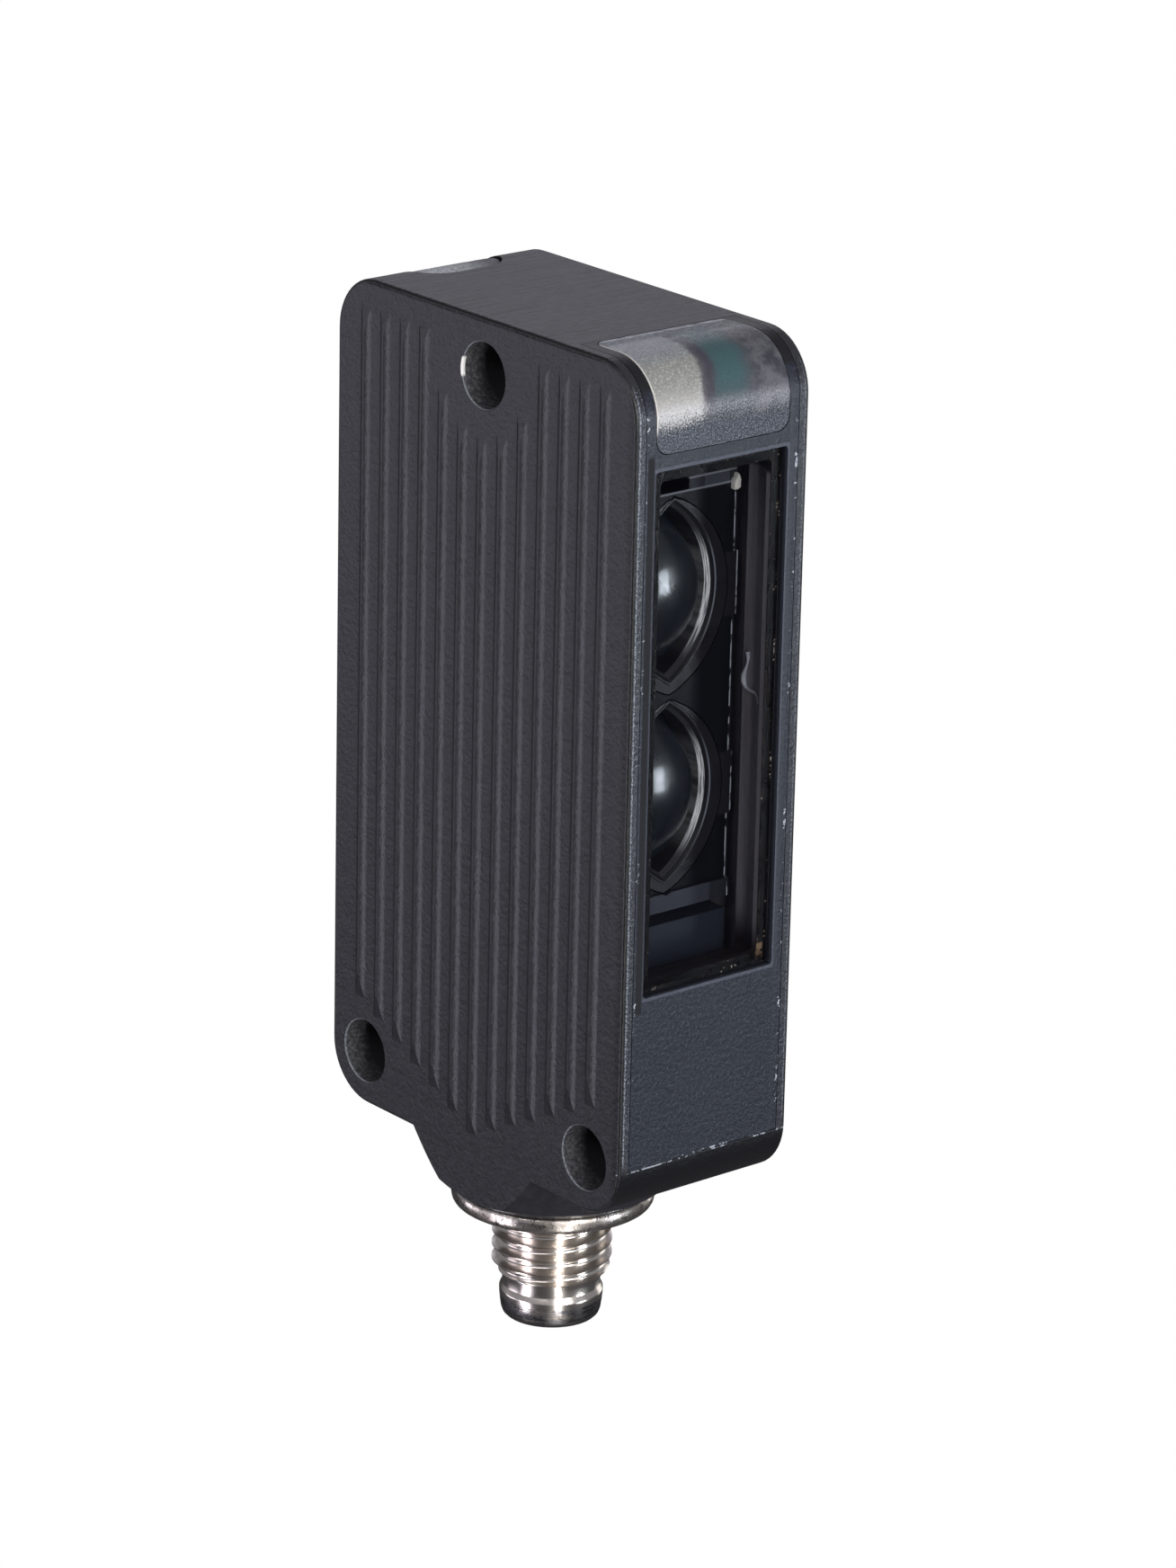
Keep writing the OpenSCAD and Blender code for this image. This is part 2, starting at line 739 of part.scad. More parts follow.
// A light guide over the LED at side x: a block shaped to the inside of the cap, depth d under the skin.
module guide_block(x, width, d) {
    difference() {
        translate([x, 0, 0]) along_x(width / 2) intersection() {
            round_rect(-half_d + d, body_bottom, 0, body_top - d, body_corner - d);
            translate([-half_d + cover_rim + inner_gap, display_top]) square([guide_reach, body_height]);
        }
        translate([x - led_side / 2 - inner_gap, led_y - led_side / 2 - inner_gap, display_top - over])
            cube([led_side + 2 * inner_gap, led_side + 2 * inner_gap, led_height + inner_gap + over]);
    }
}

module light_guide() {
    color("#d9cfb8") guide_block(-guide_x, guide_width, cap_thick + inner_gap);
}

module teal_light_guide() {
    color("#3f8f80") guide_block(teal_x, teal_width, cap_thick + teal_setback);
}

rear_led_z = board_top - led_side / 2 - inner_gap;
pipe_start = board_back + led_height + inner_gap;
pipe_bend_y = half_d - rear_reach + rear_corner;
pipe_bend_z = body_top - rear_drop + rear_corner;
pipe_skin = rear_recess + rear_thick + inner_gap;

// Clear pipe from the rear LED up to the inside of the rear indicator window.
module rear_light_pipe() {
    color("#d5dadd", 0.6) {
        along_x(rear_width / 2 - rear_ledge - inner_gap) intersection() {
            round_rect(0, body_bottom, half_d - pipe_skin, body_top - pipe_skin, body_corner - pipe_skin);
            translate([pipe_bend_y, pipe_bend_z]) square([rear_reach, rear_drop]);
        }
        along_x(pipe_width / 2) polygon([
            [pipe_start, rear_led_z - pipe_width / 2],
            [pipe_start, rear_led_z + pipe_width / 2],
            [pipe_bend_y, pipe_bend_z + pipe_width / 2],
            [pipe_bend_y + pipe_width / 2, pipe_bend_z + eps],
            [pipe_bend_y, pipe_bend_z - eps]
        ]);
    }
}

module rear_led() {
    color("#e9e6da") translate([-led_side / 2, board_back, rear_led_z - led_side / 2])
        cube([led_side, led_height, led_side]);
}

// The flex link: down the main board's rear face and onto the connector board.
module flex_link() {
    color("#b07a2e") translate([-flex_width / 2, board_back, link_board_top])
        cube([flex_width, flex_thick, board_low - link_board_top + flex_width]);
}

module connector_board() {
    color("#1e5a3a") difference() {
        translate([0, 0, link_board_low]) cylinder(h = board_thick, r = link_board_r);
        for (i = [0 : pin_count - 1]) pin_place(i)
            translate([0, 0, link_board_low - over]) cylinder(h = board_thick + 2 * over, d = pin_d + 2 * fit_gap, $fn = 24);
    }
}

module connector_shell() {
    color("#c9c6bf") rotate_extrude() polygon([
        [shell_bore_r, shell_end],
        [mouth_r, shell_end],
        [snap_r, shell_end + mouth_taper],
        [snap_r, snap_z],
        [groove_r, snap_z + (snap_r - groove_r)],
        [groove_r, groove_z - eps],
        [thread_d / 2 - thread_bevel, groove_z],
        [thread_d / 2, groove_z + thread_bevel],
        [thread_d / 2, 0],
        [flange_r, 0],
        [flange_r, flange_thick],
        [neck_bore_r - inner_gap, flange_thick],
        [neck_bore_r - inner_gap, shell_top],
        [shell_bore_r, shell_top]
    ]);
}

module connector_seal() {
    color("#111111") rotate_extrude() translate([seal_r, seal_z]) circle(d = seal_d, $fn = 24);
}

module pin_place(i) {
    rotate([0, 0, (i + 0.5) * 360 / pin_count]) translate([pin_circle_r, 0, 0]) children();
}

module contact_carrier() {
    color("#20242a") difference() {
        translate([0, 0, socket_floor]) cylinder(h = shell_top - socket_floor, r = shell_bore_r - fit_gap);
        for (i = [0 : pin_count - 1]) pin_place(i)
            translate([0, 0, shell_end]) cylinder(h = shell_top - shell_end + over, d = pin_d + 2 * fit_gap, $fn = 24);
        translate([0, -shell_bore_r + fit_gap, socket_floor - over]) cylinder(h = over + key_r, r = key_r, $fn = 24);
    }
}

module contact_pins() {
    color("#d6b25a") for (i = [0 : pin_count - 1]) pin_place(i) {
        translate([0, 0, shell_end + pin_inset + pin_d / 2])
            cylinder(h = link_board_top - shell_end - pin_inset - pin_d / 2, d = pin_d, $fn = 24);
        translate([0, 0, shell_end + pin_inset + pin_d / 2]) sphere(d = pin_d, $fn = 24);
    }
}

housing();
front_cover();
indicator_cap();
rear_indicator_window();
window_pane();
pane_adhesive();
optic_carrier();
locating_tab();
emitter_lens();
receiver_lens();
emitter_film();
receiver_film();
emitter_led();
receiver_diode();
receiver_shield();
main_board();
controller_chip();
display_board();
green_led();
yellow_led();
light_guide();
teal_light_guide();
rear_led();
rear_light_pipe();
flex_link();
connector_board();
connector_shell();
connector_seal();
contact_carrier();
contact_pins();
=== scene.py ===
import math

import bmesh
import bpy
from mathutils import Matrix, Vector


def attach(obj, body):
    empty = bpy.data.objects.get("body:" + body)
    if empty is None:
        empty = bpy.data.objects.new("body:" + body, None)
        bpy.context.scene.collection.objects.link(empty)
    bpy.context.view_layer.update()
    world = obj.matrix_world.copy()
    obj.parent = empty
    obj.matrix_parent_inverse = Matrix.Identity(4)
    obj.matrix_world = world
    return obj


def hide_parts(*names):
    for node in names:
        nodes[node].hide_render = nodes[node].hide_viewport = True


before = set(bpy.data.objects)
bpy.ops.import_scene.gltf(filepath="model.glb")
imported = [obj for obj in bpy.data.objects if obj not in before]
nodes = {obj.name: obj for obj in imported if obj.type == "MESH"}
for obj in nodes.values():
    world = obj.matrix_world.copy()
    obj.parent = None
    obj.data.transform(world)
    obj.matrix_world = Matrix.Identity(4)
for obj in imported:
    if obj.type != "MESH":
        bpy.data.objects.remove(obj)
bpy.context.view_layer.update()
MM = 0.001

# Sizes in millimetres, as in the part's source. The origin is under the plug's flange, on its axis.
# The housing: top face, the middles of its cross holes as (y, z), and their radius
BODY_TOP = 61.0
HOLES = ((-11.5, 8.25), (11.5, 8.25), (0.0, 57.25))
HOLE_RADIUS = 2.15

# The lenses: their heights, the plane behind them, the radius of their domes, the face of the carrier
LENS_HEIGHTS = (30.9, 44.2)
LENS_BACK = -7.1
DOME_RADIUS = 8.2
CARRIER_FRONT = -10.5

# Two arcs give an outline: their radius, and how far past the middle each one's centre lies
OPENING_RADIUS = 6.9
OPENING_OFFSET = 2.3
COLLAR_RADIUS = 7.0
COLLAR_OFFSET = 3.4
COLLAR_LIFT = 0.3

# The plug's thread: the phase is the share of a turn by which its crest runs ahead. Its groove deepens
# over the run-in, and a bevel narrows its end
THREAD_RADIUS = 4.0
THREAD_CORE = 3.3
THREAD_PITCH = 1.0
THREAD_LENGTH = 5.1
THREAD_DEPTH = 0.6
THREAD_PHASE = 0.74
THREAD_RUN_IN = 0.35
THREAD_BEVEL = 0.42

# Points round each turned or domed piece
AROUND = 120

# The photograph: its height and the focal length that fits it in pixels, and where its camera looks from
PHOTO_HEIGHT = 1744.0
FOCAL_PIXELS = 6758.16
CAMERA_AZIMUTH = -39.725
CAMERA_ELEVATION = 19.091
CAMERA_ROLL = 1.262
CAMERA_PLACE = (2.331, 27.238, 402.463)
SENSOR_HEIGHT = 24.0


# Building blocks for the node trees

class Finish:
    """A material under construction: short calls that add one node each."""

    def __init__(self, name, tree=None):
        if tree is None:
            self.material = bpy.data.materials.new(name)
            self.material.use_nodes = True
            tree = self.material.node_tree
            self.shader = tree.nodes["Principled BSDF"]
            self.output = tree.nodes["Material Output"]
        self.tree = tree

    def node(self, kind, **settings):
        made = self.tree.nodes.new(kind)
        for key, value in settings.items():
            setattr(made, key, value)
        return made

    def feed(self, socket, value):
        if isinstance(value, bpy.types.NodeSocket):
            self.tree.links.new(value, socket)
        elif value is not None:
            socket.default_value = value

    def place(self):
        """Position on the object, in metres."""
        return self.node("ShaderNodeTexCoord").outputs["Object"]

    def axis(self, vector, letter):
        split = self.node("ShaderNodeSeparateXYZ")
        self.feed(split.inputs[0], vector)
        return split.outputs[letter]

    def math(self, operation, a, b=None):
        made = self.node("ShaderNodeMath", operation=operation)
        self.feed(made.inputs[0], a)
        self.feed(made.inputs[1], b)
        return made.outputs[0]

    def ramp(self, value, low, high, out_low=0.0, out_high=1.0):
        """Runs smoothly from one result to the other while the value goes from low to high."""
        made = self.node("ShaderNodeMapRange", interpolation_type="SMOOTHSTEP")
        for slot, item in zip(("Value", "From Min", "From Max", "To Min", "To Max"),
                              (value, low, high, out_low, out_high)):
            self.feed(made.inputs[slot], item)
        return made.outputs[0]

    def stretch(self, vector, scale):
        made = self.node("ShaderNodeMapping")
        self.feed(made.inputs["Vector"], vector)
        self.feed(made.inputs["Scale"], scale)
        return made.outputs[0]

    def noise(self, vector, scale, detail, rough):
        made = self.node("ShaderNodeTexNoise")
        self.feed(made.inputs["Vector"], vector)
        self.feed(made.inputs["Scale"], scale)
        self.feed(made.inputs["Detail"], detail)
        self.feed(made.inputs["Roughness"], rough)
        return made.outputs["Fac"]

    def blend(self, factor, a, b):
        made = self.node("ShaderNodeMix", data_type="RGBA")
        self.feed(made.inputs["Factor"], factor)
        self.feed(made.inputs[6], a)
        self.feed(made.inputs[7], b)
        return made.outputs[2]

    def bump(self, height, strength, distance):
        made = self.node("ShaderNodeBump")
        self.feed(made.inputs["Height"], height)
        self.feed(made.inputs["Strength"], strength)
        self.feed(made.inputs["Distance"], distance)
        return made.outputs[0]

    def effect(self, group, **values):
        """Places a shared effect and returns its outputs."""
        made = self.node("ShaderNodeGroup", node_tree=group)
        for key, value in values.items():
            self.feed(made.inputs[key.replace("_", " ")], value)
        return made.outputs

    def set(self, **values):
        """Feeds the shader's own sockets, by name."""
        for key, value in values.items():
            self.feed(self.shader.inputs[key.replace("_", " ")], value)
        return self.material


def rgb(red, green, blue):
    return (red, green, blue, 1.0)


def new_effect(name, inputs, outputs):
    """An empty node group with named inputs and outputs."""
    group = bpy.data.node_groups.new(name, "ShaderNodeTree")
    for label, kind, default in inputs:
        socket = group.interface.new_socket(name=label, in_out="INPUT", socket_type=kind)
        socket.default_value = default
    for label, kind in outputs:
        group.interface.new_socket(name=label, in_out="OUTPUT", socket_type=kind)
    into = group.nodes.new("NodeGroupInput")
    out = group.nodes.new("NodeGroupOutput")
    return group, into.outputs, out.inputs, Finish(name, tree=group)


# Effects that several finishes share

def make_grain():
    """Fine moulded or painted grain: a height for Bump."""
    group, given, result, f = new_effect(
        "surface grain",
        [("Cells", "NodeSocketFloat", 3000.0), ("Waviness", "NodeSocketFloat", 0.3)],
        [("Height", "NodeSocketFloat")])
    where = f.place()
    fine = f.noise(where, given["Cells"], 3.0, 0.55)
    slow = f.noise(where, f.math("MULTIPLY", given["Cells"], 0.22), 2.0, 0.5)
    f.feed(result["Height"], f.math("ADD", fine, f.math("MULTIPLY", slow, given["Waviness"])))
    return group


def make_specks():
    """Small scattered bright specks."""
    group, given, result, f = new_effect(
        "scattered specks",
        [("Cells", "NodeSocketFloat", 2500.0), ("Share", "NodeSocketFloat", 0.3)],
        [("Mask", "NodeSocketFloat")])
    where = f.place()
    fine = f.noise(where, given["Cells"], 2.0, 0.7)
    patch = f.noise(where, f.math("MULTIPLY", given["Cells"], 0.15), 2.0, 0.6)
    level = f.math("ADD", fine, f.math("MULTIPLY", f.math("SUBTRACT", patch, 0.5), 0.9))
    edge = f.math("SUBTRACT", 0.75, f.math("MULTIPLY", given["Share"], 0.5))
    f.feed(result["Mask"], f.ramp(level, edge, f.math("ADD", edge, 0.09)))
    return group


def make_band():
    """One inside a range of a value, falling to nought over Soft at both ends."""
    group, given, result, f = new_effect(
        "position band",
        [("Value", "NodeSocketFloat", 0.0), ("Low", "NodeSocketFloat", 0.0),
         ("High", "NodeSocketFloat", 1.0), ("Soft", "NodeSocketFloat", 0.1)],
        [("Mask", "NodeSocketFloat")])
    rise = f.ramp(given["Value"], f.math("SUBTRACT", given["Low"], given["Soft"]), given["Low"])
    fall = f.ramp(given["Value"], given["High"], f.math("ADD", given["High"], given["Soft"]), 1.0, 0.0)
    f.feed(result["Mask"], f.math("MULTIPLY", rise, fall))
    return group


def make_distance():
    """Distance from an axis along X through (Y, Z), in millimetres."""
    group, given, result, f = new_effect(
        "distance from a cross hole",
        [("Y", "NodeSocketFloat", 0.0), ("Z", "NodeSocketFloat", 0.0)],
        [("Distance", "NodeSocketFloat")])
    where = f.place()
    dy = f.math("SUBTRACT", f.math("MULTIPLY", f.axis(where, "Y"), 1000.0), given["Y"])
    dz = f.math("SUBTRACT", f.math("MULTIPLY", f.axis(where, "Z"), 1000.0), given["Z"])
    square = f.math("ADD", f.math("MULTIPLY", dy, dy), f.math("MULTIPLY", dz, dz))
    f.feed(result["Distance"], f.math("SQRT", square))
    return group


GRAIN = make_grain()
SPECKS = make_specks()
BAND = make_band()
HOLE_DISTANCE = make_distance()


def along(f, letter):
    """Position along one axis in millimetres."""
    return f.math("MULTIPLY", f.axis(f.place(), letter), 1000.0)


def band(f, value, low, high, soft):
    return f.effect(BAND, Value=value, Low=low, High=high, Soft=soft)["Mask"]


def specks(f, cells, share):
    return f.effect(SPECKS, Cells=cells, Share=share)["Mask"]


def grain(f, cells, waviness, strength, distance):
    return f.bump(f.effect(GRAIN, Cells=cells, Waviness=waviness)["Height"], strength, distance)


def every(f, *masks):
    """Where all the masks hold."""
    total = masks[0]
    for mask in masks[1:]:
        total = f.math("MULTIPLY", total, mask)
    return total


def either(f, *masks):
    """Where any of the masks holds."""
    total = masks[0]
    for mask in masks[1:]:
        total = f.math("MAXIMUM", total, mask)
    return total


# Finishes. Their positions are in millimetres, and a colour's numbers are linear

def housing_paint():
    """Fine-grained black paint, worn on the narrow lands beside the cover and round the holes, with painted
    glints on the hole rims, painted light in the bores and on the wall inside the window, and painted shade
    under the lower lip.
    """
    f = Finish("housing paint")
    side = along(f, "X")
    x = f.math("ABSOLUTE", side)
    y = along(f, "Y")
    z = along(f, "Z")

    # Wear on the land beside the cover, most on the left
    front_land = every(f, band(f, x, 6.16, 6.74, 0.03), f.ramp(y, -13.9, -14.8), f.ramp(z, 8.4, 9.2))
    open_side = f.ramp(side, 1.0, -1.0, 0.45, 1.0)
    dust = f.noise(f.stretch(f.place(), (1.0, 1.0, 0.7)), 9000.0, 2.0, 0.8)
    bright_line = band(f, x, 6.62, 6.7, 0.03)
    worn_wide = every(f, band(f, x, 6.3, 6.66, 0.05), f.ramp(dust, 0.54, 0.76))
    worn_line = every(f, bright_line, f.ramp(dust, 0.4, 0.64, 0.0, 0.9))
    worn_land = every(f, front_land, either(f, worn_wide, worn_line), open_side)

    # A near-black band along the side faces' front and top edges
    dark_edge_band = every(f, band(f, x, 6.78, 6.99, 0.03), f.ramp(y, -14.0, -14.7))
    top_dark_edge_band = every(f, band(f, x, 6.78, 6.99, 0.03), f.ramp(z, BODY_TOP - 0.6, BODY_TOP - 0.1))

    # Rubbed rims with a painted glint, strongest on each rim's rear side, raw metal in the bores, painted
    # lighter near their mouths as painted light, and one painted glint in the top hole
    rim_wear_and_glint = None
    bores = None
    for hole_y, hole_z in HOLES:
        reach = f.effect(HOLE_DISTANCE, Y=hole_y, Z=hole_z)["Distance"]
        ring = every(f, band(f, reach, HOLE_RADIUS + 0.01, HOLE_RADIUS + 0.06, 0.02), f.ramp(x, 6.8, 6.9),
                     f.ramp(y, hole_y - 1.2, hole_y + 0.6, 0.3, 1.0))
        bore = every(f, f.ramp(reach, HOLE_RADIUS + 0.05, HOLE_RADIUS), f.ramp(x, 6.95, 6.85))
        rim_wear_and_glint = ring if rim_wear_and_glint is None else either(f, rim_wear_and_glint, ring)
        bores = bore if bores is None else either(f, bores, bore)
    top_reach = f.effect(HOLE_DISTANCE, Y=HOLES[2][0], Z=HOLES[2][1])["Distance"]
    glint = every(f, f.ramp(y, 1.7, 1.95), band(f, z, 56.9, 57.9, 0.25), f.ramp(side, -6.7, -6.8),
                  band(f, top_reach, HOLE_RADIUS - 0.02, HOLE_RADIUS + 0.1, 0.04))
    worn_and_glinting_rims = every(f, rim_wear_and_glint, f.ramp(dust, 0.3, 0.6, 0.12, 0.6))
    raw = f.noise(f.place(), 3600.0, 4.0, 0.7)
    raw_and_lit_bore = every(f, bores, f.ramp(raw, 0.38, 0.75), f.ramp(x, 4.9, 5.3))

    # Light specks on the lower lip, and a few stray chips on the side faces
    lip_specks = every(f, band(f, z, 8.12, 8.21, 0.02), f.ramp(y, -14.5, -14.9), specks(f, 2600.0, 0.5))
    stray = every(f, specks(f, 420.0, -0.36), f.ramp(x, 6.8, 6.95))
    wear_and_glints = either(f, worn_land, worn_and_glinting_rims, lip_specks, stray)

    # The paint: a slow drift, a fine mottle, and drawn lines across the top face
    brushed = f.noise(f.stretch(f.place(), (0.06, 1.0, 1.0)), 5200.0, 3.0, 0.6)
    top_face = f.ramp(z, BODY_TOP - 0.35, BODY_TOP - 0.05)
    tone = f.noise(f.place(), 60.0, 3.0, 0.5)
    mottle = f.noise(f.place(), 1400.0, 3.0, 0.65)
    paint = f.blend(tone, rgb(0.0165, 0.0162, 0.0205), rgb(0.0215, 0.0212, 0.026))
    paint = f.blend(f.ramp(mottle, 0.3, 0.75), paint, rgb(0.027, 0.0265, 0.032))
    paint = f.blend(every(f, top_face, f.ramp(brushed, 0.42, 0.7)), paint, rgb(0.034, 0.033, 0.038))
    drawn = f.noise(f.stretch(f.place(), (0.05, 1.0, 1.0)), 2300.0, 4.0, 0.7)
    dark_lines = every(f, top_face, f.ramp(drawn, 0.55, 0.63), f.ramp(y, -9.0, -6.0))
    paint = f.blend(dark_lines, paint, rgb(0.011, 0.0105, 0.0125))
    paint = f.blend(either(f, dark_edge_band, top_dark_edge_band), paint, rgb(0.003, 0.003, 0.004))
    paint = f.blend(front_land, paint, rgb(0.013, 0.0145, 0.02))

    # The bores, painted lighter than the paint outside as painted light, the housing's wall inside the
    # window, painted pale as painted light, and painted shade under the lower lip
    paint = f.blend(bores, paint, rgb(0.045, 0.045, 0.05))
    paint = f.blend(raw_and_lit_bore, paint, rgb(0.15, 0.15, 0.16))
    lit_inner_wall = every(f, band(f, x, 6.1, 6.26, 0.03), band(f, y, -13.9, -8.0, 0.3),
                       band(f, z, 19.0, 54.0, 0.3))
    paint = f.blend(lit_inner_wall, paint, rgb(0.2, 0.2, 0.24))
    lip_shade = every(f, f.ramp(z, 8.15, 8.05), f.ramp(y, -11.9, -13.0), f.ramp(x, 6.9, 6.7))
    paint = f.blend(lip_shade, paint, rgb(0.006, 0.0058, 0.0075))
    paint = f.blend(wear_and_glints, paint, rgb(0.36, 0.38, 0.43))
    lines = f.math("MULTIPLY", top_face, f.math("MULTIPLY", drawn, 2.6))
    height = f.math("ADD", f.effect(GRAIN, Cells=3000.0, Waviness=0.8)["Height"], lines)
    f.set(Base_Color=f.blend(glint, paint, rgb(0.95, 0.93, 0.9)),
          Roughness=f.math("ADD", 0.34, f.math("MULTIPLY", mottle, 0.08)),
          Normal=f.bump(height, 0.5, 0.00008))
    return f.material


def cover_plastic():
    """Dark blue-grey plastic with a fine mottle, a painted highlight along the window's edge, lighter specks
    along its own sides, and painted light and shade on the wall inside the window.
    """
    f = Finish("front cover plastic")
    across = along(f, "X")
    x = f.math("ABSOLUTE", across)
    y = along(f, "Y")
    z = along(f, "Z")
    front = f.ramp(y, -14.5, -14.95)

    # Painted highlight along the window's edge, strongest on the right; light specks along the sides and the
    # lower edge
    side_edge_highlight = every(f, band(f, x, 5.3, 5.46, 0.04), band(f, z, 19.6, 54.4, 0.05),
                     f.ramp(across, -1.0, 1.0, 0.2, 1.0))
    ends = either(f, band(f, z, 19.6, 19.8, 0.04), band(f, z, 54.2, 54.4, 0.04))
    end_edge_highlight = every(f, f.ramp(x, 5.45, 5.4), ends)
    edge = every(f, front, either(f, side_edge_highlight, end_edge_highlight))
    side = every(f, front, band(f, x, 5.95, 6.3, 0.05), specks(f, 3200.0, 0.2))
    lower = every(f, front, band(f, z, 8.1, 8.34, 0.04), specks(f, 1700.0, 0.5))

    # The plastic itself, and the wall inside the window, painted pale as painted light, with painted shade
    # towards its lower and upper ends
    tone = f.noise(f.place(), 140.0, 4.0, 0.6)
    mottle = f.noise(f.place(), 5200.0, 3.0, 0.7)
    plastic = f.blend(tone, rgb(0.008, 0.01, 0.0175), rgb(0.013, 0.0155, 0.024))
    plastic = f.blend(f.ramp(mottle, 0.48, 0.7), plastic, rgb(0.036, 0.041, 0.06))
    inside = f.ramp(y, -14.5, -14.3)
    smear = f.noise(f.stretch(f.place(), (1.0, 1.0, 0.12)), 1500.0, 3.0, 0.65)
    wall_painted_light_and_shade = f.blend(f.ramp(smear, 0.3, 0.7), rgb(0.17, 0.16, 0.185), rgb(0.24, 0.23, 0.27))
    wall_painted_light_and_shade = f.blend(f.ramp(z, 23.5, 20.5), wall_painted_light_and_shade, rgb(0.02, 0.015, 0.015))
    wall_painted_light_and_shade = f.blend(f.ramp(z, 52.2, 52.6), wall_painted_light_and_shade, rgb(0.01, 0.01, 0.012))
    plastic = f.blend(inside, plastic, wall_painted_light_and_shade)

    # A small dark scuff under the window, an oval of 2.6 x 1 mm
    scuff_x = f.math("DIVIDE", f.math("ADD", across, 2.2), 1.3)
    scuff_z = f.math("DIVIDE", f.math("SUBTRACT", z, 16.1), 0.5)
    scuff_reach = f.math("SQRT", f.math("ADD", f.math("MULTIPLY", scuff_x, scuff_x),
                                        f.math("MULTIPLY", scuff_z, scuff_z)))
    scuff = every(f, front, f.ramp(scuff_reach, 1.0, 0.6), specks(f, 2400.0, 0.35))

    # The flat lands beside the window, darker on the left
    strip = every(f, front, band(f, across, 5.5, 5.78, 0.04), f.ramp(z, 19.0, 20.0, 0.4, 1.0))
    plastic = f.blend(strip, plastic, rgb(0.022, 0.025, 0.034))
    near_strip = every(f, front, band(f, across, -5.95, -5.5, 0.05), band(f, z, 19.0, 55.0, 0.4))
    plastic = f.blend(near_strip, plastic, rgb(0.003, 0.0035, 0.0055))
    # Painted highlight round the window, then the light specks and the scuff
    colour = f.blend(f.math("MULTIPLY", edge, 0.55), plastic, rgb(0.085, 0.095, 0.125))
    colour = f.blend(either(f, side, lower), colour, rgb(0.42, 0.45, 0.5))
    colour = f.blend(scuff, colour, rgb(0.012, 0.013, 0.016))
    f.set(Base_Color=colour,
          Roughness=f.math("ADD", f.ramp(near_strip, 0.0, 1.0, 0.36, 0.6), f.math("MULTIPLY", tone, 0.1)),
          Specular_IOR_Level=0.4,
          Normal=grain(f, 3400.0, 0.5, 0.5, 0.00006))
    return f.material


